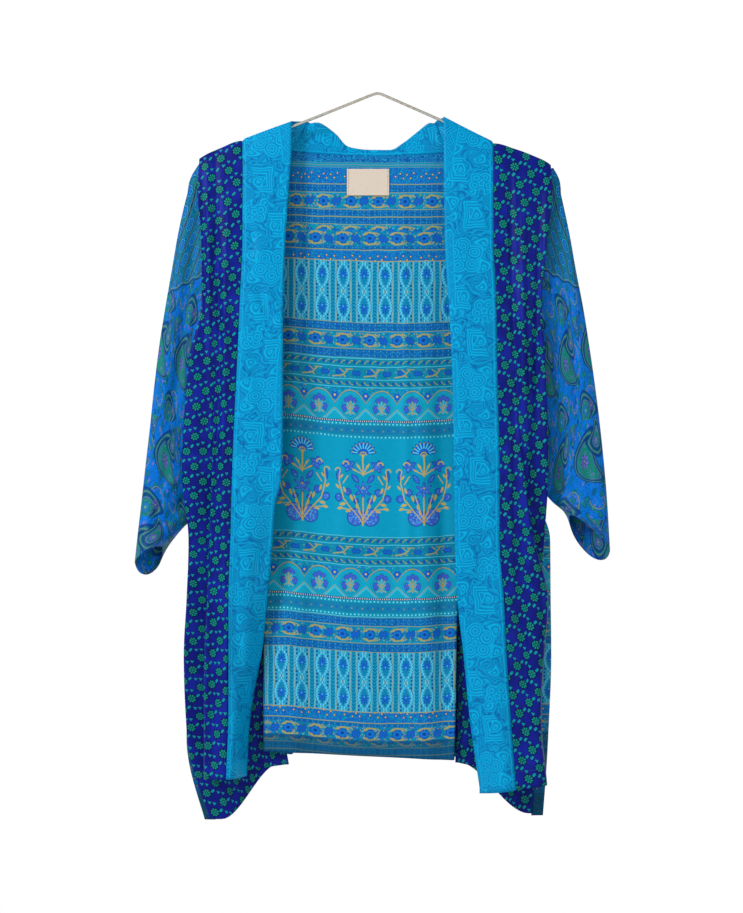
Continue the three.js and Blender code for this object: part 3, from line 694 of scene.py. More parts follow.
    def vine(c):
        """A vine scroll between two narrow vines, ruled with pale lines."""
        here = step(w, VINE - 15.1)
        d = abs(w - VINE)
        p, q = wave(x, 37.5, 0.2), (w - VINE) * PITCH
        c = paint(c, paint(colour(6, 136, 172), colour(6, 124, 150), mist), here)
        c = filled(c, here * ease(d, 5.4, 5.0), 0.6, 0.85, 0.6)
        twigs = line(seg(p, q, -9, 4.6, 3, 2.6), 0.7, 0.4)
        for x0, y0, x1, y1, wide in ((3, 2.6, 9, -4.2, 0.7), (6, -4.4, 14, -4.4, 0.55),
                                     (3, 2.6, 5.5, 4.6, 0.6), (3.6, -1.0, -1.5, -4.6, 0.5)):
            twigs = most(twigs, line(seg(p, q, x0, y0, x1, y1), wide, 0.4))
        buds = least(lobed(p + 2.5, q + 0.8, 2.9, 0.5, 5), length(abs(p) - 16.5, q - 0.5) - 2.5)
        c = paint(c, navy, here * blob(buds - 0.6, 0.4))
        c = paint(c, blue, here * blob(buds, 0.3))
        c = paint(c, gold, here * twigs * ease(d, 5.3, 4.9))
        narrow = here * inside(d - 10.4, 2.9)
        p, q = wave(x, 9.4), (d - 10.4) * PITCH
        c = paint(c, teal, narrow * 0.6)
        c = paint(c, navy, narrow * blob(length(p, q) - 1.9, 0.4))
        c = paint(c, blue, narrow * blob(length(p, q) - 1.3, 0.3))
        hooks = line(seg(p, q, -4.4, 1.6, -2.0, 1.6), 0.4, 0.3)
        hooks = most(hooks, line(seg(p, q, 2.0, -1.6, 4.2, 0.6), 0.4, 0.3))
        c = paint(c, gold, narrow * hooks)
        ruled = most(line((d - 6.3) * PITCH, 0.42, 0.3), line((d - 14.2) * PITCH, 0.45, 0.3))
        return paint(c, cyan, here * ruled * 0.85)

    def arches(c):
        """Pointed arches, each over a small plant, on a line of dashes."""
        apart, shift = 37.8, -4.4
        here = step(w, ARCHES - 15.6)
        s, q = wave(x + shift, apart), (w - ARCHES) * PITCH
        c = paint(c, colour(6, 140, 176), here)
        c = filled(c, here, 0.62, 0.93, 0.8)
        swag = q + 15.5 - 15.0 * (abs(s) / (apart / 2)).op("POWER", 2.1)
        c = paint(c, colour(10, 158, 190), here * ease(swag, 0, 1))
        c = paint(c, navy, here * line(swag - 0.9, 0.5, 0.4) * 0.6)
        c = paint(c, gold, here * line(swag, 0.6, 0.4))
        dome = length(s / 13.2, (q - 3.5) / 13.6)
        frill = (dome - (0.95 + 0.05 * cos(angle(s, q - 3.5) * 8))) * 13
        c = paint(c, navy, here * line(frill, 0.5, 0.4) * 0.6)
        c = paint(c, colour(22, 158, 196), here * blob(frill, 0.4))
        c = paint(c, teal, here * line(frill + 2.0, 0.5, 0.4))
        pods = length((abs(s) - 7.2) / 2.7, (q - 5.5) / 4.1) - 1
        pods = least(pods, length((abs(s) - 4.6) / 2.6, (q + 4.0) / 2.9) - 1)
        pods = least(pods, length(s / 2.6, (q + 6.5) / 2.6) - 1)
        c = paint(c, navy, here * blob(pods * 3 - 0.5, 0.4))
        c = paint(c, violet, here * blob(pods * 3, 0.35))
        twig = line(seg(abs(s), q, 0, 12, 0, -3), 0.5, 0.35)
        for x0, y0, x1, y1 in ((0, 6, 4.2, -1.5), (0, 9, 5.5, 12.0), (0, 8, 5, 3.2)):
            twig = most(twig, line(seg(abs(s), q, x0, y0, x1, y1), 0.5, 0.35))
        c = paint(c, gold, here * twig)
        # between two arches, a bloom over a tent of lines
        t = wave(x + shift, apart, 0.5)
        c = paint(c, blue, here * blob(lobed(t, q + 9.5, 4.2, 0.7, 6), 0.35))
        c = paint(c, colour(214, 178, 90), here * blob(length(t, q + 9.5) - 1.3, 0.3))
        tent = abs(t) * 0.9 + (17.5 - q) - 9.5
        c = paint(c, cyan, here * line(tent, 0.5, 0.4) * 0.9)
        return paint(c, gold, here * line(tent - 2.2, 0.4, 0.3) * ease(q, 4, 5))

    def beads(c):
        """A line of dashes over a row of beads and small dots."""
        here = step(w, BEADS - 10.4)
        c = paint(c, colour(8, 138, 172), here)
        row = here * ease(abs(w - BEADS), 4.6, 4.2)
        c = paint(c, colour(14, 120, 166), row)
        c = paint(c, blue, row * blob(length(wave(x, 12.5), (w - BEADS) * PITCH) - 1.5, 0.4))
        dot = length(wave(x, 12.5, 0.5), (w - BEADS - 0.6) * PITCH) - 0.9
        c = paint(c, colour(150, 128, 110), row * blob(dot, 0.3))
        c = paint(c, teal, row * blob(small_d - 1.0, 0.4) * 0.6)
        bead = length(wave(x, 4.6), (abs(w - BEADS - 0.2) - 6.4) * PITCH) - 0.9
        c = paint(c, colour(116, 220, 236), here * blob(bead, 0.4))
        q = abs((w - BEADS + 9) * PITCH)
        c = paint(c, navy, here * ease(q, 1.3, 1.0))
        return paint(c, colour(200, 190, 170), here * ease(q, 0.9, 0.6) * ease(abs(wave(x, 2.7)), 0.75, 0.55))

    def bushes(c):
        """Flower bushes, alike left and right, standing on a plain ground."""
        apart, shift = 74.4, 18.0
        bx, by = abs(wave(x + shift, apart)), (w - BUSHES) * PITCH
        g = paint(colour(0, 140, 178), colour(0, 154, 192), noise(x, v, 3, 8.0, 2.0))
        halo = length(bx / 27, (by - 4) / 34) - (0.95 + 0.04 * cos(angle(bx, by) * 14))
        veil = most(blob(halo * 25, 0.6) * ease(lace, 0.17, 0.06) * 0.7, line(halo * 25, 0.4, 0.4) * 0.7)
        g = paint(g, teal, veil * ease(by, -34, -26))
        # round leaves at the foot
        r = length((bx - 9.5) / 9.8, (by - 40) / 10.2)
        g = paint(g, navy, blob((r - 1.04) * 9, 0.5))
        g = paint(g, violet, blob((r - 0.97) * 9, 0.4))
        g = paint(g, colour(70, 170, 216), blob((r - 0.85) * 9, 0.4) * ease(lace, 0.2, 0.08))
        # the middle flower, its side flowers and small blooms
        middle_a = angle(bx, by - 7.5) * 6 + 3.14
        blooms = length(bx / 1.05, by - 7.5) - (7.0 + 3.2 * cos(middle_a))
        blooms = least(blooms, lobed(bx - 17.5, by + 21.5, 6.3, 1.7, 5))
        for cx, cy, size in ((18.5, 10, 4.0), (29.5, 17.5, 4.4), (8.5, 20.5, 3.0)):
            blooms = least(blooms, length(bx - cx, by - cy) - size)
        blooms = least(blooms, leaf(bx, by, 9.5, -6.0, -0.9, 6.5, 2.8))
        blooms = least(blooms, leaf(bx, by, 29.5, -9.5, 1.45, 6.5, 2.4))
        g = paint(g, navy, blob(blooms - 0.6, 0.4))
        g = paint(g, paint(blue, violet, noise(x, v, 16, 4.0)), blob(blooms, 0.35))
        g = paint(g, colour(96, 170, 226), blob(blooms + 1.4, 0.4) * ease(lace, 0.2, 0.05) * 0.7)
        # the fan at the top, on a small gilt cup
        fan_r, fan_a = length(bx, by + 36), angle(by + 36, bx)
        up = ease(by + 36, 1.0, -1.0)
        ray = wave(fan_a, pi / 9) * fan_r
        fan = fan_r - (14.2 + 1.6 * cos(fan_a * 18))
        g = paint(g, navy, blob(fan - 0.6, 0.4) * up)
        g = paint(g, blue, blob(fan, 0.35) * up)
        g = paint(g, cyan, blob(fan + 3.0, 0.4) * ease(abs(ray), 0.9, 0.5) * ease(fan_r, 6, 7) * up)
        g = paint(g, gold, blob(length(ray, fan_r - 13.4) - 1.0, 0.3) * up)
        g = paint(g, gold, line(length(bx, by + 34.5) - 3.6, 0.8, 0.4) * ease(by + 34.5, 0.5, -0.5))
        # gilt stems and leaves
        stem = line(seg(bx, by, 0, 49, 0, 16), 0.8, 0.35)
        for x0, y0, x1, y1, wide in (
                (0, -10, 0, -33, 0.85), (0.4, -12, 7.5, -24, 0.65), (0.4, -11, 12, -17, 0.6),
                (0, 47, 24, 18, 0.65), (0, 44, 11, 14, 0.6), (24, 18, 29, -2, 0.7),
                (29, -2, 27.5, -15, 0.7), (24, 0, 18, -9, 0.6), (14, 31, 28, 30, 0.55)):
            stem = most(stem, line(seg(bx, by, x0, y0, x1, y1), wide, 0.35))
        stem = most(stem, line(length(bx - 30.5, by + 15) - 3.0, 0.65, 0.4) * ease(by + 15, 1, 0))
        stem = most(stem, line(length(bx - 21, by + 23) - 3.2, 0.8, 0.4) * ease(by + 23, 1.2, 0.2))
        for cx, cy, a, long, wide in (
                (28, 30, 0.3, 3.6, 1.7), (24.5, 25, 0.2, 4.2, 1.7), (14, 17, -1.2, 4.4, 1.6),
                (7.5, 27, -1.5, 4.0, 1.3), (22.5, 8, -1.2, 4.2, 1.4), (31, 4, -0.9, 3.6, 1.3),
                (18, 33, 0.1, 3.6, 1.3), (26, -8, 0.8, 3.6, 1.2), (4.5, 34, -1.2, 4, 1.2),
                (5.5, -21, -0.9, 3, 1.3), (10.5, -16.5, -0.4, 3.4, 1.1), (0, -34, 1.57, 2.2, 2.0)):
            stem = most(stem, blob(leaf(bx, by, cx, cy, a, long, wide), 0.3))
        g = paint(g, colour(184, 160, 84), stem)
        g = paint(g, gold, blob(length(bx, by - 5) - 1.4, 0.3))
        return paint(c, g, step(w, BUSHES - 45.9))

    def hem(c):
        """Painted shade: the hem, turned up double, is darkened as if less light came through the doubled
        cloth, and its hanging corners are darkened as if in shadow.
        """
        # painted shade over the doubled hem, where less light comes through
        c = paint(c, colour(4, 70, 100), ease(y, HEM - 0.6, HEM + 0.6) * 0.72)
        # painted shade on the hanging corners below the fronts, the back's inner side in shadow
        return paint(c, colour(2, 40, 74), ease(v, 838, 850) * 0.62)

    c = paint(ground, colour(8, 158, 196), mist)
    for border in (upper_rows, facing, medallions, roses, vine, arches, beads, bushes, hem):
        c = border(c)
    return c


def back_panel(material):
    """The back, level by level, from the right edge round its turns to the left."""
    foot = BACK_R["z"][-1]
    wrapped = 0.6               # how far back the wrapped layer lies before its turn
    grid = []
    for z in levels(BACK_R, ROWS_DOWN):
        r = row_of(BACK_R, "z", "turn tuck wrap side yT yU yV yE", z)
        l = row_of(BACK_L, "z", "turn tuck wrap side yT yU yV yE", z)
        k = [float(z + hem_drop(z, d - foot, foot)) for d in BACK_DROP]
        stops = [
            (r["side"], 0, r["yE"], k[0]), (r["wrap"], lerp(r["yE"], r["yV"], wrapped), r["yV"], k[0]),
            (r["tuck"], r["yV"], r["yU"], k[1]), (r["turn"], r["yU"], r["yT"], k[2]),
            (l["turn"], l["yT"], l["yU"], k[3]), (l["tuck"], l["yU"], l["yV"], k[4]),
            (l["wrap"], l["yV"], lerp(l["yE"], l["yV"], wrapped), k[5]), (l["side"], l["yE"], 0, k[5]),
        ]
        sag = {2: (0.08, 0.84), 6: (0.06, 1)}
        level = section(stops, counts=(4, 22, 8, 54, 8, 22, 4), sag=sag)
        grid.append(shoulder(level, BACK_R["z"][0], z, True))
    flat = np.array(grid)
    grid = settle(flat, None, CREASES_BACK)
    mid = grid.shape[1] // 2
    u = arc_u(grid, mid) + grid[:, mid:mid + 1, 0]
    u = upright(u, grid, anchor=10, free=64, fixed=37)
    u = upright(u, grid, anchor=173, free=119, fixed=146)
    # the borders sag a few millimetres, most below the waist
    deepest, middle, spread, at_neck = 9.2, 20, 42, 0.15
    sag = np.maximum(deepest - ((flat[..., 0] - middle) / spread) ** 2, 0)
    v = -flat[..., 2] - sag * (at_neck + (1 - at_neck) * smooth(-40, -420, flat[..., 2]))
    o = shell("back_panel_silk", grid, np.stack([u, v], -1) / 1000, material)
    return o, grid


back, grid_b = back_panel(silk("teal_silk", back_print, rough=0.5))
cloth(back, "back_panel", grid_b, (0.5, 0.82))

# ---- front panels ---------------------------------------------------------------
# Two narrow pieces of dark blue silk.  Each hangs from the shoulder, runs from
# the band seam to a soft pleat, back under itself, and out again to the side.
# The print is rosettes of green petals on a slanting lattice, with buds between.
# At each level z: the band seam, the soft pleat and its inner turn, the outer
# edge, the armhole side, and the depths yL to yE of the cloth there.
FRONT_R = rows("z seam soft inner edge armhole yL yM yN yO yE", """
    -56 -164 -178 -194 -215 -211 -1 -1 -1 -1 -1
    -60 -164 -178 -194 -215 -211 -3.3 -3.3 -3.3 -3.2 -2.9
    -91 -163 -180 -194 -217 -210 -9 -9 -8.5 -7.6 -4.4
    -172 -163 -182 -193 -212 -204 -15 -14 -13 -12 -6.4
    -247 -166 -187 -197 -211 -198 -18 -18 -17 -14 -8
    -319 -169 -193 -199 -226 -193 -21 -20 -19 -14 -8
    -403 -173 -197 -197 -233 -187 -23 -20 -19 -12 -6
    -457 -175 -199 -194 -235 -185 -24 -18 -15 -8.5 -2.4
    -535 -177 -202 -180 -228 -194 -25 -8 -3 4 8
    -607 -179 -205 -153 -231 -207 -26 4 8 13 15
    -667 -179 -208 -131 -235 -220 -27 13 17.5 20.5 20.5
    -739 -179 -209 -122 -231 -225 -27 14.5 19 21.5 21.5
    -821 -182 -209 -108 -203 -198 -27 15 20 22 22
""")
FRONT_L = rows("z seam soft inner edge armhole yL yM yN yO yE", """
    -59 140 151 173 208 204 -1 -1 -1 -1 -1
    -63 140 151 173 208 204 -3.3 -3.3 -3.3 -3.2 -2.9
    -91 139 154 173 209 202 -9 -9 -8.5 -7.6 -4.4
    -172 139 156 173 203 196 -15 -14 -13 -12 -6.4
    -247 142 161 175 196 186 -18 -18 -17 -14 -8
    -319 143 163 178 200 181 -21 -20 -19 -14 -8
    -403 145 169 180 203 175 -23 -20 -19 -12 -6
    -457 146 175 180 204 173 -24 -18 -15 -8.5 -2.4
    -535 146 187 165 200 187 -25 -8 -3 3 6
    -607 151 204 110 195 191 -26 4 8 12 13.5
    -667 154 200 96 193 190 -27 13 17.5 20 20
    -739 159 196 95 192 190 -27 14.5 19 21 21
    -821 165.5 203 94 186 184 -27 15 20 22 22
""")
# Creases of the fronts and the band.
CREASES_FRONT = rows("x0 z0 x1 z1 half depth", """
    -154 -168 -142 -188 3.5 3.0
    -149 -176 -138 -197 4 -2.4
    -146 -230 -127 -274 4 3.4
    -139 -228 -120 -268 4 -2.6
    -160 -418 -138 -429 3.5 2.8
    -156 -428 -134 -438 4 -2.4
    -150 -300 -138 -372 9 1.8
    -132 -520 -150 -600 8 2.0
    -170 -640 -158 -740 6 2.4
    -178 -560 -182 -780 4 -3.0
    -196 -70 -189 -330 4 3.6
    -205 -100 -199 -440 3.5 -3.4
    -183 -180 -185 -640 4 -3.2
    -212 -90 -206 -270 3.5 2.2
    -190 -330 -196 -560 4 3.2
    -222 -560 -226 -720 5 2.2
    -214 -640 -216 -790 4 -2.0
    -196 -600 -199 -790 4 3.0
    110 -150 118 -260 8 1.4
    104 -330 122 -420 8 1.6
    124 -520 132 -640 8 1.6
    116 -700 128 -790 6 1.8
    158 -70 164 -360 4 3.2
    176 -90 173 -400 4 -3.4
    194 -120 188 -420 4 3.4
    156 -380 160 -620 4 -3.2
    172 -500 177 -760 4 3.4
    190 -560 193 -780 4 -3.2
    204 -90 199 -230 3.5 -2.0
    184 -400 186 -560 3.5 2.2
""")
# How far the hem rises (or, negative, hangs lower) at the seam and at each turn.
FRONT_DROP = {"right": (0, -1, 13, -54, -54), "left": (-13, -8, 15, -47, -47)}


def rosettes(slope, swing, across, skip, down, buds, start):
    """Rosettes on a lattice that slants by slope, and by swing more for each mm
    down; they lie across mm apart, and each row, down mm on, is shifted by skip."""
    night, night_light, shadow = colour(13, 24, 118), colour(17, 33, 142), colour(6, 14, 70)
    petal_green, heart_green, bud_green = colour(9, 138, 122), colour(16, 150, 128), colour(10, 140, 152)

    def draw(u, v):
        u = u + start[0]
        tilt = slope + (v - 150) * swing
        v = v + start[1] - u * tilt
        c = paint(night, night_light, ease(noise(u, v, 34, 2.0), 0.4, 0.65))

        def spot(cx, cy):
            """The place counted from the nearest motif of one kind."""
            fq = fract((v - cy) / down + 0.5) - 0.5
            fp = fract((u - cx - (v - cy) / down * skip) / across + 0.5) - 0.5
            x, y = fp * across + fq * skip, fq * down
            return x, y + x * tilt * 0.6

        x, y = spot(0, 0)
        r, a = length(x, y), angle(x, y)
        stem = line(x + 0.5 * sin(y * 0.6), 0.3, 0.35) * ease(y, 4, 5) * ease(y, 11, 10)
        c = paint(c, shadow, stem * 0.9)
        c = paint(c, colour(4, 14, 66), blob(r - 5.9, 0.6))
        # eight petals, parted by thin gaps, round a green heart
        parting = abs(sin(a * 4 + 0.3))
        petals = blob(r - 4.9 + 0.8 * (1 - parting), 0.25) * ease(parting * (1.6 + r * 0.5), 1.3, 2.2)
        c = paint(c, petal_green, petals * ease(r, 1.4, 1.8))
        c = paint(c, heart_green, blob(r - 0.95, 0.3))
        for cx, cy in buds:
            x, y = spot(cx, cy)
            tall, lobes = (0.8, 2) if cx < 0 else (1.15, 3)
            d = length(x, y * tall) - (1.75 + 0.6 * cos(angle(x, y) * lobes + 1.5))
            stalk = line(x, 0.28, 0.3) * ease(y, 0.8, 1.4) * ease(y, 4.6, 3.8)
            c = paint(c, colour(4, 20, 66), stalk * 0.9)
            c = paint(c, shadow, blob(d - 0.6, 0.35))
            c = paint(c, bud_green, blob(d, 0.3))
        return c

    return draw


def front_panel(side, table, material):
    """One front, level by level, from the band seam round its turns to the armhole."""
    foot = table["z"][-1]
    grid = []
    for z in levels(table, ROWS_DOWN):
        xs = list(row_of(table, "z", "seam soft inner edge armhole", z).values())
        ys = list(row_of(table, "z", "yL yM yN yO yE", z).values())
        before, after = (ys[0], ys[0], ys[1], ys[2], ys[4]), (ys[0], ys[1], ys[2], ys[3], ys[3])
        zs = [float(z + hem_drop(z, drop, foot)) for drop in FRONT_DROP[side]]
        sag = {3: (0.1, 0.88) if side == "right" else (0, 1)}
        level = section(list(zip(xs, before, after, zs)), counts=(14, 14, 18, 6), sag=sag)
        grid.append(shoulder(level, table["z"][0], z))
    grid = settle(np.array(grid), CREASES_FRONT)
    u = arc_u(grid, 0) * (-1 if side == "right" else 1)
    u = upright(u, grid, anchor=72, free=24, fixed=39)
    v = -grid[..., 2]
    o = shell("front_panel_" + side + "_silk", grid, np.stack([u, v], -1) / 1000, material)
    return o, grid


print_r = rosettes(slope=-0.39, swing=0.00135, across=20.6, skip=9.8, down=19.3,
                   buds=((3.6, 10.6), (-3.4, 12.5), (9.6, 8.4)), start=(-6, -4))
print_l = rosettes(slope=0.43, swing=0.0, across=20.2, skip=6.5, down=18.9,
                   buds=((-7.2, 11.4), (-1.0, 9.8), (4.2, 11.2)), start=(-18.8, -65.7))
panel_r, grid_fr = front_panel("right", FRONT_R, silk("dark_silk_right", print_r, rough=0.4))
panel_l, grid_fl = front_panel("left", FRONT_L, silk("dark_silk_left", print_l, rough=0.4))
cloth(panel_r, "front_panel_right", grid_fr, (0.27, 0.82))
cloth(panel_l, "front_panel_left", grid_fl, (0.27, 0.82))

# ---- neckband -------------------------------------------------------------------
# One folded strip of bright blue silk, sewn on from hem to hem round the neck;
# behind the neck it stands up and rolls over outwards.  Its print is flowers,
# drops, curls and open nested squares in pale lines, with rippled lines between.
# The folded edge's place at each level, and how far the strip bows forwards.
BAND_R = rows("z x y bow", """
    -37 -103.5 -2.5 0.5
    -67 -104 -6 0.5
    -127 -108 -12 1
    -223 -113 -17 2
    -319 -114 -20 2
    -415 -114 -22 2
    -463 -116 -23 3
    -493 -123 -21 3
    -559 -128 -16 4
    -607 -133 -11 5
    -665 -139 -4 7
    -718 -149 2 9
    -760 -155 5 10
    -821 -158.5 7 10
""")
BAND_L = rows("z x y bow", """
    -29 79 -2.5 0.5
    -72 79 -6.5 0.5
    -175 80 -15 1.5
    -217 82 -17 2
    -271 86 -19 2
    -391 90 -22 2
    -487 91 -24 2
    -559 92.5 -24 2
    -607 95 -23 3
    -677 103 -18 5
    -756 111 -9 8
    -834 122.5 -3 9
""")
# Round the neck, from right to left: the seam (s), the standing fold (m) and the
# folded edge (f).
NECK = rows("sx sy sz mx my mz fx fy fz", """
    -163.5 -3.5 -59 -133 -4.3 -48.5 -103.5 -4.3 -38
    -163.4 -0.8 -53.8 -133 -1.6 -42.6 -103.5 -1.6 -32
    -157 3.0 -55.8 -128 5.6 -42 -102 5 -31.5
    -140 6.6 -60.2 -114 11 -44 -97 13 -30.5
    -107 10.2 -65.4 -94 17.5 -44 -87 21 -29.5
    -94 10.9 -66.7 -85 22 -33 -80 31 -31.5
    -80 11.6 -68 -73 24 -30.5 -70 31 -43
    -57 12.2 -69.4 -52 22 -44 -52 28 -80
    -36 12.4 -70.4 -36 17.6 -60.5 -38 23 -104
    -12 12.4 -71 -12 16 -64.5 -12 21.5 -116
    14 12.4 -70.8 14 16 -64.8 14 21.5 -115
    32 12.4 -70.2 30 18.2 -56.5 32 24 -97
    50 12.2 -69.4 47 22.5 -43 50 29 -73
    68 11.6 -68.2 63 25 -31 64 32 -46
    77 11.1 -67.7 70 22.5 -32.5 69 30 -30.5
    86 10.6 -67.2 78 17.5 -44 74 21.5 -26.5
    114 7.4 -63.8 97 11.2 -43 77 13 -26.5
    132 3.4 -60.6 106 6 -42.5 79 6 -26.5
    139.6 -0.8 -57 110 -1.6 -42.4 79 -1.6 -26.5
    139.6 -3.5 -62 110 -4.3 -49 79 -4.3 -33
""")
BAND_ROWS, NECK_ROWS, BAND_COLUMNS = 130, 86, 19
BAND_WIDTH = 57
NECK_I = dict(NECK, i=np.arange(len(NECK["sx"]), dtype=float))


def band_print(u, v):
    """Pale flowers, drops, curls and squares, with a zigzag along the outer edge."""
    middle, repeat = 28.5, 154
    base, pale, dark = colour(0, 136, 190), colour(0, 166, 214), colour(0, 90, 154)
    bend = (noise(u, v, 17, 5.0) - 0.5) * 5
    x, y = u - middle + bend, wave(v, repeat) + bend

    def flower(cx, cy, size, twist):
        """Five round petals, each with lines inside."""
        px, py = x - cx, y - cy
        r = length(px, py)
        a = wave(angle(px, py) + twist, 2 * pi / 5)
        return least(length(r * cos(a) - size, r * sin(a)) - size * 0.74, r - size * 0.42)

    def drop(cx, cy, tilt, size):
        """A drop with a bent tip."""
        p, q = turned(x - cx, y - cy, tilt)
        q = q + p * p * (0.35 / size)
        return length(p * 0.66, q * (1 + p * (0.4 / size))) - size

    d = least(flower(5, 2, 12.5, 0.3), flower(-15, 68, 8.5, 0.9))
    for cx, cy, tilt, size in (
            (-18, -12, 1.9, 5.0), (-17, 16, 1.1, 5.4), (-13, 40, 0.4, 4.2), (20, -24, 2.4, 4.0),
            (18, 28, -0.6, 4.6), (16, -62, 1.7, 5.4), (18, -44, 0.3, 3.6), (-3, -75, 0.2, 4.2),
            (-21, -76, 1.4, 3.4), (22, 70, 0.8, 4.2)):
        d = least(d, drop(cx, cy, tilt, size))
    ink = Value(0.0)
    # squares of nested lines, open on one side, round a drop
    for cx, cy, half in ((-9, -48, 13.5), (9, 52, 12.0)):
        px, py = x - cx, (y - cy) / 1.15
        mouth = -half * 0.45
        box = most(abs(px), abs(py)) - half
        nest = abs(box + 3.2) - 3.4
        shut = ease(px + py * 0.3, mouth, mouth + 0.5)
        ink = most(ink, line(wave(box, 3.0), 0.55, 0.4) * blob(nest, 0.2) * shut)
        away = ease(px + py * 0.3, mouth + 0.4, mouth) * 40
        d = least(d, least(nest + away, drop(cx - 1, cy, 0.9, 5.2)))
    # lines a step lighter, nested inside every shape
    inner = wave(d + 0.6, 3.0)
    ink = most(ink, line(inner, 0.55, 0.4) * blob(d - 0.4, 0.3))
    # curls run into each other between the shapes
    n = noise(x, v, 12, 4.0, 1.0)
    out = ease(d, 0.8, 1.6)
    worm = fract(d / 3.4 + n * 3.6)
    c = paint(base, dark, line(worm - 0.5, 0.12, 0.13) * 0.85 * out)
    c = paint(c, pale, ease(abs(worm - 0.5), 0.36, 0.46) * 0.6 * out)
    c = paint(c, dark, line(abs(inner) - 1.5, 0.12, 0.5) * (1 - out) * 0.75)
    c = paint(c, pale, ink)
    zig = abs(wave(v, 11)) * 1.25
    here = ease(sin(v * (2 * pi / repeat) + 1), -0.2, 0.1)
    edge = ease(u, 45.6, 46.2)
    c = paint(c, base, edge * here)
    for k in (48.0, 51.4, 54.8):
        c = paint(c, pale, line(u - k - zig, 0.55, 0.4) * here * edge)
        c = paint(c, dark, line(u - k - 1.7 - zig, 0.3, 0.4) * here * edge)
    return paint(c, pale, most(line(u - 3.6, 0.45, 0.35), line(u - 45.4, 0.5, 0.35) * here) * 0.8)


def band_station(table, front, drop, side, z):
    """One row across the band, from the front's seam to the folded edge."""
    edge_drop = -7 if side > 0 else 0
    foot = front["z"][-1]
    sx = float(at(front, "z", "seam", z)) - side * 0.5
    sy = float(at(front, "z", "yL", z))
    sz = float(z + hem_drop(z, drop, foot))
    fz = sz + edge_drop * float(smooth(-600, -834, z))
    fx, fy, bow = (float(at(table, "z", c, fz)) for c in ("x", "y", "bow"))
    t = np.linspace(0, 1, BAND_COLUMNS)
    s = np.sin(pi * t)
    x = lerp(sx, fx, t) + side * bow * 0.25 * s * t
    return np.stack([x, lerp(sy, fy, t**1.25) - bow * s, lerp(sz, fz, t)], -1)


def neck_station(i):
    """One row across the band behind the neck: a curve from the seam (s) over
    the standing fold (m) to the folded edge (f)."""
    v = row_of(NECK_I, "i", " ".join(NECK), i)
    a, m, f = (np.array([v[k + "x"], v[k + "y"], v[k + "z"]]) for k in "smf")
    d0, d1 = np.linalg.norm(m - a) ** 0.5, np.linalg.norm(f - m) ** 0.5
    slope = (m - a) / d0 - (f - a) / (d0 + d1) + (f - m) / d1
    out = []
    for t in np.linspace(0, 1, BAND_COLUMNS):
        if t < 0.5:
            q, p0, p1, m0, m1, h = t * 2, a, m, (m - a) / d0, slope, d0
        else:
            q, p0, p1, m0, m1, h = t * 2 - 1, m, f, slope, (f - m) / d1, d1
        out.append((2 * q**3 - 3 * q**2 + 1) * p0 + (q**3 - 2 * q**2 + q) * h * m0
                   + (3 * q**2 - 2 * q**3) * p1 + (q**3 - q**2) * h * m1)
    out = np.array(out)
    out[0] += (0, 0.9, -2.5)            # the seam is tucked below the back's top
    return out


def neckband(material):
    """The whole strip: up the right front, round the neck and down the left front."""
    t = np.linspace(0, 1, BAND_ROWS)
    right = [band_station(BAND_R, FRONT_R, 0, -1, lerp(-821, -74, k**0.98)) for k in t]
    left = [band_station(BAND_L, FRONT_L, -13, 1, lerp(-78, -821, k**1.02)) for k in t]
    grid = [settle(station, CREASES_FRONT) for station in right]
    grid += [neck_station(i) for i in np.linspace(0, len(NECK["sx"]) - 1, NECK_ROWS)]
    grid += [settle(station, CREASES_FRONT) for station in left]
    grid = np.array(grid)
    middle = grid[:, BAND_COLUMNS // 2]
    v_len = np.concatenate([[0], np.cumsum(np.linalg.norm(np.diff(middle, axis=0), axis=1))])
    u = arc_u(grid, 0)
    u = u * (BAND_WIDTH / u[BAND_ROWS + NECK_ROWS // 2, -1])
    uv = np.stack([u, v_len[:, None] + 0 * u], -1) / 1000
    o = shell("neckband_silk", grid, uv, material, thick=0.9)
    return o, grid


band, grid_n = neckband(silk("band_silk", band_print, rough=0.46))
cloth(band, "neckband", grid_n, (0.058, 1.9))

# ---- sleeves --------------------------------------------------------------------
# Two wide tubes of azure silk, each seamed under the arm and set into the long
# armhole; they hang flat and end in a slanting cuff.  The print is paisleys among
# dotted scrolls, with a border of medallion chains over the shoulder.
# A row for each ring: its top (tx, tz) and its underarm (lx, lz), how far it opens
# to the front and back, the underarm's depth ly, and the swing of the cuff's tip.
SLEEVE_R = rows("tx tz lx lz front back ly tip", """
    -218 -82 -185 -447 0 0 0.6 0
    -229 -118 -191 -454 3 3 2 0
    -240 -165 -199 -462 5 7 5 0
    -248 -211 -206 -471 6 11 7 0
    -256 -257 -212 -480 7 14 9 0
    -263 -301 -217 -490 7 17 11 0
    -269 -349 -222 -501 8 20 12 1
    -274 -397 -228 -513 9 23 12 6
    -279.5 -445 -237 -522 12 26 10 10
    -285 -495 -246 -531 16 30 7 14
    -289 -530 -254 -539 21 34 4 18
    -292.5 -564 -260 -545 26 38 2 23
""")
SLEEVE_L = rows("tx tz lx lz front back ly tip", """
    213 -86 173 -447 0 0 0.6 0
    220 -119 179 -453 3 3 2 0
    230 -166 185 -459 5 7 5 0
    238 -211 191 -466 6 11 7 0
    247 -257 197 -473 7 14 9 0
    254 -301 203 -481 7 17 11 0
    261 -349 208 -487 8 20 12 0
    267 -397 213 -492 9 23 12 0
    272 -445 218 -496 12 26 10 1
    275.5 -487 223 -500 16 30 7 3
    277.5 -520 227 -504 21 34 4 9
    279 -550 231 -507 26 38 2 25
""")
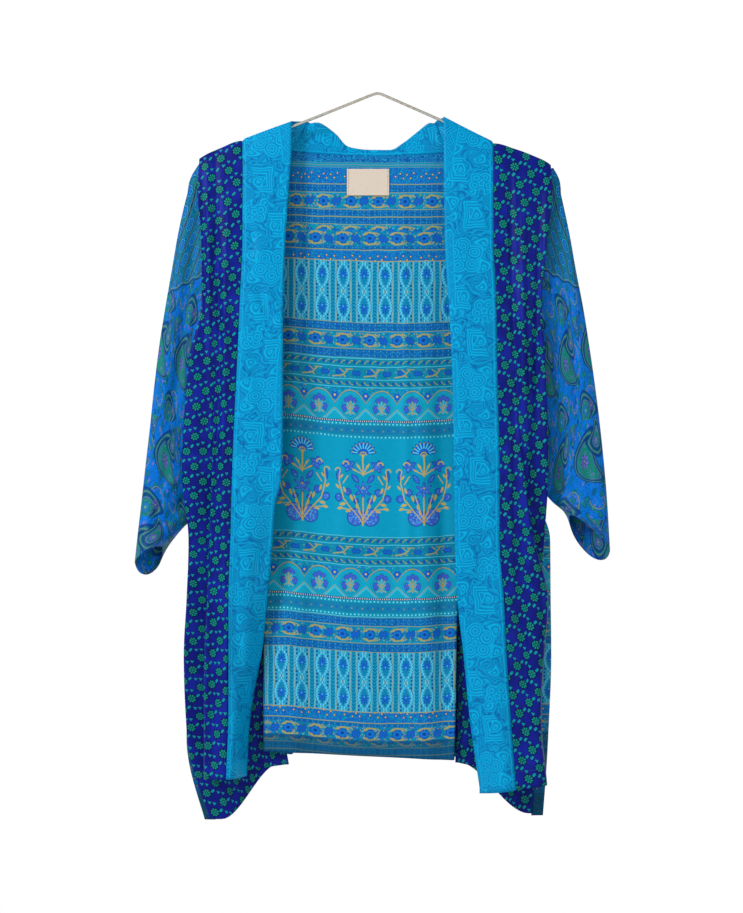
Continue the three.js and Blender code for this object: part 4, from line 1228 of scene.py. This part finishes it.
# Creases across the sleeves.
CREASES_OUTER = rows("x0 z0 x1 z1 half depth", """
    -228 -130 -262 -400 6.4 -2.6
    -218 -150 -240 -330 4.8 2.2
    -236 -300 -268 -520 5.6 2.9
    -246 -380 -264 -470 4.8 -2.4
    -216 -470 -262 -520 6.4 2.9
    -222 -440 -276 -500 5.6 -2.1
    -252 -540 -268 -500 4 2.1
    -210 -230 -226 -300 4 2.6
    -206 -190 -214 -270 3.2 -2.9
    226 -140 252 -400 6.4 -2.6
    216 -160 236 -330 4.8 2.2
    232 -300 258 -500 5.6 2.7
    244 -360 262 -460 4.8 -2.2
    206 -450 252 -500 6.4 2.7
    212 -430 264 -480 5.6 -2.1
    246 -520 262 -480 4 1.9
    208 -240 222 -310 4 2.4
""")


def place():
    """Where a point hangs, in millimetres."""
    n = Value.tree.nodes.new("ShaderNodeTexCoord")
    sep = Value.tree.nodes.new("ShaderNodeSeparateXYZ")
    Value.tree.links.new(n.outputs["Object"], sep.inputs[0])
    return tuple(Value(sep.outputs[i]) * 1000 for i in range(3))


def sleeve_print(flip):
    """Paisleys, scrolls and flowers below, a border of chains over the shoulder."""
    def draw(u, v):
        u = u * flip
        green, deep, dark = colour(6, 120, 108), colour(1, 66, 114), colour(0, 44, 112)
        pink, sand, pool = colour(104, 104, 190), colour(128, 150, 124), colour(2, 84, 120)
        lace = abs(fract(noise(u, v, 3.6, 2.0, 1.0) * 4.0) - 0.5)
        c = paint(colour(0, 100, 196), colour(0, 120, 216), noise(u, v, 35, 3.0))
        shade = noise(u, v, 12, 8.0, 1.0)
        curls = line(wave(shade * 46 + noise(u, v, 5, 1.0) * 3, 5.2), 0.9, 0.6)
        c = paint(c, colour(1, 74, 152), curls * 0.6)
        nearest, kind, _ = crumbs(u + v * 0.3, v * 0.8, 9.0, 3.0)
        c = paint(c, pool, blob(nearest - 3.4, 0.4) * ease(kind, 0.5, 0.52) * 0.8)
        clear = ease(lace, 0.1, 0.2)
        c = paint(c, colour(14, 122, 108), blob(nearest - 2.2, 0.4) * ease(kind, 0.6, 0.62) * clear)
        c = paint(c, colour(112, 96, 180), blob(nearest - 1.8, 0.4) * ease(kind, 0.2, 0.18) * clear)

        def scroll(c, px, py, big, a0, a1):
            """A row of pale dots along an arc, with small leaves on its outside."""
            r, a = length(px, py), angle(px, py)
            on = ease(a, a0, a0 + 0.05) * ease(a, a1, a1 - 0.05)
            c = paint(c, deep, line(r - big, 1.3, 0.4) * on * 0.5)
            outer = length(wave(a * big, 9.0) * 0.6, r - big - 3.4) - 1.5
            inner = length(wave(a * big, 9.0, 0.5) * 0.7, r - big + 3.0) - 1.1
            c = paint(c, green, blob(outer, 0.4) * on * 0.8)
            c = paint(c, pink, blob(inner, 0.4) * on * 0.9)
            return paint(c, sand, blob(length(wave(a * big, 2.3), r - big) - 0.8, 0.3) * on)

        def paisley(c, px, py, tilt, size, core):
            """A bent drop of nested rings, with a flower inside and one at its tip."""
            p, q = turned(px, py, tilt)
            q = q + (p + size * 0.4) * (p + size * 0.4) * (0.30 / size)
            d = length(p * 0.62, q * (1 + p * (0.40 / size))) - size
            c = paint(c, dark, blob(d - 1.5, 0.5) * 0.85)
            c = paint(c, pool, blob(d, 0.35))
            c = paint(c, green, blob(d, 0.35) * ease(lace, 0.26, 0.12))
            c = paint(c, sand, line(d + 1.0, 0.32, 0.35) * ease(lace, 0.1, 0.22) * 0.6)
            c = paint(c, deep, line(d + 3.0, 1.0, 0.4))
            c = paint(c, pink, line(d + 4.6, 0.36, 0.35) * ease(lace, 0.04, 0.14) * 0.7)
            c = paint(c, green, blob(d + 5.4, 0.4) * ease(lace, 0.08, 0.18))
            c = paint(c, pink, line(wave(d, 3.4), 0.3, 0.4) * blob(d + 6.4, 0.4) * ease(lace, 0.2, 0.1))
            r, a = length(p + size * 0.3, q), angle(p + size * 0.3, q)
            bloom = r - (size * 0.36 + size * 0.11 * cos(a * 7))
            c = paint(c, dark, blob(bloom - 0.7, 0.35))
            c = paint(c, core, blob(bloom, 0.35) * ease(abs(sin(a * 3.5)) * r, 0.5, 1.1))
            c = paint(c, green, blob(r - size * 0.17, 0.3))
            c = paint(c, sand, blob(r - size * 0.09, 0.3))
            return paint(c, pink, line(lobed(p - size * 0.75, q, 1.9, 0.8, 5), 0.5, 0.35) * 0.9)

        wide, high, skip = 88, 112, 41
        across = u + floor(v / high) * skip
        cx, cy = wave(across, wide), wave(v, high, 0.5)
        c = scroll(c, cx - 26, cy + 10, 19, -2.6, 1.9)
        c = scroll(c, cx + 30, cy + 34, 13, -1.2, 2.9)
        c = scroll(c, cx + 22, cy - 36, 15, -3.0, 0.6)
        c = scroll(c, cx - 16, cy - 34, 10, -0.6, 3.1)
        c = paisley(c, cx + 2, cy + 6, 1.15, 20.0, pink)
        c = paisley(c, wave(across + 42, wide), wave(v - 50, high, 0.5), 2.2, 14.5, colour(30, 116, 196))
        c = paisley(c, wave(across - 24, wide), wave(v + 34, high, 0.5), -0.9, 11.0, pink)
        for gx, gy, petals, ink in ((24, 14, 6, pink), (-30, 40, 5, green), (6, -44, 7, pink),
                                    (40, -12, 6, colour(60, 130, 214))):
            px, py = wave(across + gx, wide), wave(v + gy, high)
            r, parting = length(px, py), abs(wave(angle(px, py), 2 * pi / petals))
            bloom = lobed(px, py, 4.6, 2.6, petals)
            c = paint(c, dark, blob(bloom - 0.8, 0.4) * 0.8)
            c = paint(c, ink, blob(bloom, 0.3) * ease(parting * r, 0.35, 0.8))
            c = paint(c, sand, blob(r - 1.1, 0.3))
        # the border over the shoulder: chains of medallions between wavy lines
        strip, link, skip = 19.5, 23, 11
        k = wave(u, strip)
        link_v = wave(v + floor(u / strip + 0.5) * skip, link) * 0.8
        chain_r, chain_a = length(k, link_v), angle(k, link_v)
        chain = chain_r - (6.3 + 0.6 * cos(chain_a * 8))
        b = paint(colour(2, 104, 156), colour(4, 120, 128), ease(noise(u, v, 9, 2.0, 2.0), 0.4, 0.6))
        b = paint(b, colour(3, 78, 152), ease(lace, 0.2, 0.1))
        b = paint(b, dark, blob(chain - 1.0, 0.4) * 0.7)
        b = paint(b, colour(40, 160, 176), blob(chain, 0.3))
        b = paint(b, colour(4, 78, 176), blob(chain + 0.9, 0.35))
        links = line(chain_r - 3.2, 0.6, 0.4) * ease(abs(sin(chain_a * 4)), 0.3, 0.6)
        b = paint(b, colour(20, 128, 170), links)
        b = paint(b, colour(16, 128, 110), blob(chain_r - 1.5, 0.4))
        b = paint(b, colour(6, 60, 96), line(abs(k) - 9.2, 0.8, 0.4))
        b = paint(b, colour(104, 132, 84), line(abs(k) - 8.4 + 0.5 * sin(v * 0.6), 0.3, 0.35) * 0.6)
        x, _, z = place()
        # it ends in a slanting, slightly wavy line, 235 mm down at the outer edge
        lowest, outer, slant = 235, 244, 0.53
        edge = 0 - z - (lowest - (outer - abs(x)) * slant) + 1.2 * sin(x * 0.5)
        c = paint(b, c, ease(edge, -0.6, 0.6))
        c = paint(c, deep, line(edge, 1.2, 0.6) * 0.9)
        return paint(c, sand, line(edge + 2.6, 0.4, 0.35) * ease(lace, 0.05, 0.2) * 0.8)

    return draw


AROUND, RINGS, ARMHOLE_END = 96, 120, -452


def sleeve(side, table, front, back, material):
    """Rings round the arm.  The first follow the edges of the front and the back,
    where the sleeve is sewn in; the others open out towards the cuff."""
    out_way = -1 if side == "right" else 1
    n = len(table["tx"])
    rings = dict(table, i=np.arange(n, dtype=float))
    a = pi + np.arange(AROUND) / AROUND * 2 * pi        # the underarm seam first
    t, sn = (1 - np.cos(a)) / 2, np.sin(a)
    bulge = np.sign(sn) * np.abs(sn) ** 0.85
    grid = []
    for s in np.linspace(0, n - 1, RINGS):
        v = row_of(rings, "i", "tx tz lx lz front back ly tip", s)
        loose = float(smooth(0, 2.2, s))
        cap, sewn_in = 3 * np.sin(pi * min(s, 1)), max(1 - s, 0)
        tx = v["tx"] + out_way * (cap - 2.2 * sewn_in)
        x, z = lerp(tx, v["lx"], t), lerp(v["tz"] - 2 * sewn_in, v["lz"], t)
        y = v["ly"] * t
        opened = y - np.where(bulge > 0, v["front"], v["back"]) * bulge
        level = np.maximum(z, ARMHOLE_END)
        edge_y = np.where(bulge > 0, at(front, "z", "yE", level) + 1.8, at(back, "z", "yE", level) - 1.8)
        edge_x = np.where(bulge > 0, at(front, "z", "armhole", level), at(back, "z", "side", level))
        near = np.clip(np.abs(sn) * 3.2, 0, 1)
        px = lerp(lerp(x, edge_x - out_way * 0.6, near), x, loose)
        py = lerp(lerp(y, edge_y, near), opened, loose)
        pz = z + v["tip"] * sn * np.where(sn > 0, 0.3, 1)
        grid.append(np.stack([px, py, pz], -1))
    flat = np.array(grid)
    grid = settle(flat)
    # the creases are softer on the hidden side, and none lies in the armhole seam
    share = np.where(sn > 0, 1.0, 0.6) * smooth(0, 14, np.arange(RINGS))[:, None]
    grid[..., 1] += crease(CREASES_OUTER, flat[..., 0], flat[..., 2]) * share
    v_len = np.concatenate([[0], np.cumsum(np.linalg.norm(np.diff(grid, axis=0), axis=2).mean(axis=1))])
    u = arc_u(grid, AROUND // 2)
    full = u[:, -1] + np.linalg.norm(grid[:, 0] - grid[:, -1], axis=1)
    down = -grid[..., 2]
    uv = np.stack([u, lerp(v_len[:, None] + 0 * u, down, 0.75)], -1) / 1000
    wrap = np.stack([full, uv[:, 0, 1] * 1000], -1) / 1000
    o = shell("sleeve_" + side + "_silk", grid, uv, material, ring=True, uv_wrap=wrap)
    return o, grid


silk_r, silk_l = silk("sleeve_silk_right", sleeve_print(1)), silk("sleeve_silk_left", sleeve_print(-1))
sleeve_r, grid_sr = sleeve("right", SLEEVE_R, FRONT_R, BACK_R, silk_r)
sleeve_l, grid_sl = sleeve("left", SLEEVE_L, FRONT_L, BACK_L, silk_l)
cloth(sleeve_r, "sleeve_right", grid_sr, (0.4, 0.5), ring=True)
cloth(sleeve_l, "sleeve_left", grid_sl, (0.4, 0.5), ring=True)

# ---- neck label -----------------------------------------------------------------
# A bare woven label, sewn along its two ends to the inside of the back.
# The solid is drawn as it is; its look is fine pale ribs.


def plain(name, rough, metal=0.0):
    """A material for a carried-over solid: its shader, ready for a colour."""
    m = bpy.data.materials.new(name)
    m.use_nodes = True
    Value.tree = m.node_tree
    shader = m.node_tree.nodes["Principled BSDF"]
    shader.inputs["Roughness"].default_value = rough
    shader.inputs["Metallic"].default_value = metal
    return m, shader


def dress(node_name, material):
    """Puts a material on the solid of that name, and returns the solid."""
    o = next(o for o in bpy.data.objects if o.type == "MESH" and o.name.startswith(node_name))
    o.data.materials.clear()
    o.data.materials.append(material)
    return o


label_weave, shader = plain("label_weave", 0.75)
lx, _, lz = place()
ribs = sin(lx * (2 * pi / 0.5)) * sin(lz * (2 * pi / 0.42))
pale = paint(colour(214, 200, 184), colour(192, 177, 160), ease(ribs, -0.4, 0.8) * 0.5)
Value.tree.links.new(pale.v, shader.inputs["Base Color"])
bump = node("ShaderNodeBump", None, {"Strength": 0.5, "Distance": 0.0004, "Height": ribs * 0.2})
Value.tree.links.new(bump.v, shader.inputs["Normal"])
label = dress("neck_label", label_weave)

# ---- hanger ---------------------------------------------------------------------
# A bent bright wire that lies in the shoulders and carries the garment.
# The solid is drawn as it is; rubbing has dulled the wire in places.
bright_wire, shader = plain("bright_wire", 0.3, 1.0)
lx, _, lz = place()
rub = noise(lx, lz, 3, 2.0, 3.0)
steel = paint(colour(214, 208, 196), colour(176, 166, 148), ease(rub, 0.45, 0.7))
Value.tree.links.new(steel.v, shader.inputs["Base Color"])
Value.tree.links.new((0.26 + rub * 0.14).v, shader.inputs["Roughness"])
dress("hanger_wire", bright_wire)

# ---- stitching ------------------------------------------------------------------
# Hems and cuffs are turned up and sewn with blue thread; the label is held by a
# row of pale thread at each end.  A row is one small rod for each stitch.


def thread(name, dark, light, size):
    """Sewing thread, its colour uneven along the row."""
    m, shader = plain(name, 0.6)
    x, _, z = place()
    Value.tree.links.new(paint(light, dark, noise(x, z, size)).v, shader.inputs["Base Color"])
    return m


def stitch_tree():
    """Rods along a path, with inputs for their spacing, length and thread."""
    tree = bpy.data.node_groups.new("running_stitch", "GeometryNodeTree")
    new = tree.interface.new_socket
    new("Geometry", in_out="INPUT", socket_type="NodeSocketGeometry")
    inputs = {k: new(k, in_out="INPUT", socket_type=t).identifier for k, t in (
        ("Spacing", "NodeSocketFloat"), ("Length", "NodeSocketFloat"),
        ("Radius", "NodeSocketFloat"), ("Thread", "NodeSocketMaterial"))}
    new("Geometry", in_out="OUTPUT", socket_type="NodeSocketGeometry")
    add, link = tree.nodes.new, tree.links.new
    first, last = add("NodeGroupInput"), add("NodeGroupOutput")
    curve, points = add("GeometryNodeMeshToCurve"), add("GeometryNodeCurveToPoints")
    turn, rod = add("FunctionNodeAlignEulerToVector"), add("GeometryNodeMeshCylinder")
    row, real = add("GeometryNodeInstanceOnPoints"), add("GeometryNodeRealizeInstances")
    coat = add("GeometryNodeSetMaterial")
    points.mode, turn.axis = "LENGTH", "Z"
    rod.inputs["Vertices"].default_value = 5
    link(first.outputs["Geometry"], curve.inputs[0])
    link(curve.outputs[0], points.inputs[0])
    link(first.outputs["Spacing"], points.inputs["Length"])
    link(points.outputs["Points"], row.inputs["Points"])
    link(points.outputs["Tangent"], turn.inputs["Vector"])
    link(turn.outputs[0], row.inputs["Rotation"])
    link(first.outputs["Length"], rod.inputs["Depth"])
    link(first.outputs["Radius"], rod.inputs["Radius"])
    link(rod.outputs[0], row.inputs["Instance"])
    link(row.outputs[0], real.inputs[0])
    link(real.outputs[0], coat.inputs[0])
    link(first.outputs["Thread"], coat.inputs["Material"])
    link(coat.outputs[0], last.inputs[0])
    return tree, inputs


STITCH, STITCH_INPUT = stitch_tree()
THREAD_RADIUS = 0.00022


def stitches(name, path, material, step=3.0, long=2.0, lift=(0, -0.7, 0)):
    """A row of stitches along a path, lifted clear of the cloth, in mm."""
    path = (np.asarray(path) + lift) / 1000
    mesh = bpy.data.meshes.new(name)
    mesh.from_pydata([tuple(p) for p in path], [(i, i + 1) for i in range(len(path) - 1)], [])
    o = bpy.data.objects.new(name, mesh)
    bpy.context.scene.collection.objects.link(o)
    mod = o.modifiers.new("stitches", "NODES")
    mod.node_group = STITCH
    for key, value in (("Spacing", step / 1000), ("Length", long / 1000),
                       ("Radius", THREAD_RADIUS), ("Thread", material)):
        mod[STITCH_INPUT[key]] = value
    o.update_tag()
    made = bpy.data.meshes.new_from_object(o.evaluated_get(bpy.context.evaluated_depsgraph_get()))
    o.modifiers.clear()
    o.data = made
    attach(o, "root")


def hem_row(grid, up, columns):
    """Points a set distance above the hem."""
    return np.array([grid[np.argmin(abs(grid[:, c, 2] - (grid[-1, c, 2] + up))), c] for c in columns])


blue_thread = thread("thread", colour(30, 60, 150), colour(44, 84, 176), 2.0)
pale_thread = thread("pale_thread", colour(168, 152, 134), colour(196, 182, 164), 1.5)
HEM_UP = 19
FRONT_COLUMNS, UNDER_COLUMNS, BACK_COLUMNS = range(1, 13), range(49, 64), range(66, 117)
CUFF_RING, CUFF_COLUMNS = -4, slice(52, 92)
for g, side in ((grid_fr, "right"), (grid_fl, "left")):
    stitches("hem_stitches_front_" + side, hem_row(g, HEM_UP, FRONT_COLUMNS), blue_thread)
    stitches("hem_stitches_under_" + side, hem_row(g, HEM_UP, UNDER_COLUMNS), blue_thread)
stitches("hem_stitches_back", hem_row(grid_b, HEM_UP, BACK_COLUMNS), blue_thread)
for g, side in ((grid_sr, "right"), (grid_sl, "left")):
    stitches("cuff_stitches_" + side, g[CUFF_RING, CUFF_COLUMNS], blue_thread)
corners = np.array([label.matrix_world @ v.co for v in label.data.vertices]) * 1000
for side, end, way in (("right", corners[:, 0].min(), 1), ("left", corners[:, 0].max(), -1)):
    front = corners[abs(corners[:, 0] - end) < 4, 1].min()
    heights = np.linspace(corners[:, 2].min() + 2, corners[:, 2].max() - 2, 12)
    stitches("label_stitches_" + side, [(end + way * 1.8, front, z) for z in heights],
             pale_thread, step=2.4, long=1.5, lift=(0, -0.15, 0))

# ---- floor, camera and light ----------------------------------------------------
# A pale floor lies below the hem.  The camera stands level in front of the
# garment, 3.2 m off, on a long lens.  White surroundings and two soft lamps.
FLOOR_SIDE, FLOOR_NEAR, FLOOR_FAR, FLOOR_LEVEL = 2, -2.5, 0.9, -1.2
mesh = bpy.data.meshes.new("floor")
corners = [(x, y, FLOOR_LEVEL) for x, y in (
    (-FLOOR_SIDE, FLOOR_NEAR), (FLOOR_SIDE, FLOOR_NEAR), (FLOOR_SIDE, FLOOR_FAR), (-FLOOR_SIDE, FLOOR_FAR))]
mesh.from_pydata(corners, [], [(0, 1, 2, 3)])
floor_sheet = bpy.data.objects.new("floor", mesh)
bpy.context.scene.collection.objects.link(floor_sheet)
matt, shader = plain("floor", 0.9)
shader.inputs["Base Color"].default_value = (0.8, 0.8, 0.8, 1)
mesh.materials.append(matt)

cam_data = bpy.data.cameras.new("camera")
cam_data.lens = 105.15
cam_data.sensor_width = 36
cam = bpy.data.objects.new("camera", cam_data)
cam.location = (-0.0078, -3.212, -0.4355)
cam.rotation_euler = (pi / 2, 0, 0)
bpy.context.scene.collection.objects.link(cam)
bpy.context.scene.camera = cam
bpy.context.scene.view_settings.view_transform = "Standard"

# The surroundings look white and light the cloth at about half of that.
world = bpy.data.worlds.new("studio")
world.use_nodes = True
nodes, links = world.node_tree.nodes, world.node_tree.links
soft, white = nodes["Background"], nodes.new("ShaderNodeBackground")
seen, both = nodes.new("ShaderNodeLightPath"), nodes.new("ShaderNodeMixShader")
for background, strength in ((soft, 0.55), (white, 1.0)):
    background.inputs["Color"].default_value = (1, 1, 1, 1)
    background.inputs["Strength"].default_value = strength
links.new(seen.outputs["Is Camera Ray"], both.inputs[0])
links.new(soft.outputs[0], both.inputs[1])
links.new(white.outputs[0], both.inputs[2])
links.new(both.outputs[0], nodes["World Output"].inputs["Surface"])
bpy.context.scene.world = world


def lamp(name, place, aim, size, watts):
    """A round soft lamp that shines from one place towards another."""
    data = bpy.data.lights.new(name, "AREA")
    data.shape, data.size, data.energy = "DISK", size, watts
    o = bpy.data.objects.new(name, data)
    o.location = place
    d = np.array(aim) - np.array(place)
    o.rotation_euler = (np.arctan2(np.hypot(d[0], d[1]), -d[2]), 0, np.arctan2(d[1], d[0]) - pi / 2)
    bpy.context.scene.collection.objects.link(o)
    return o


lamp("key", (-1.9, -1.8, 0.9), (0, 0, -0.4), 0.8, 58)
lamp("fill", (1.9, -2.2, -0.1), (0, 0, -0.5), 1.4, 9)
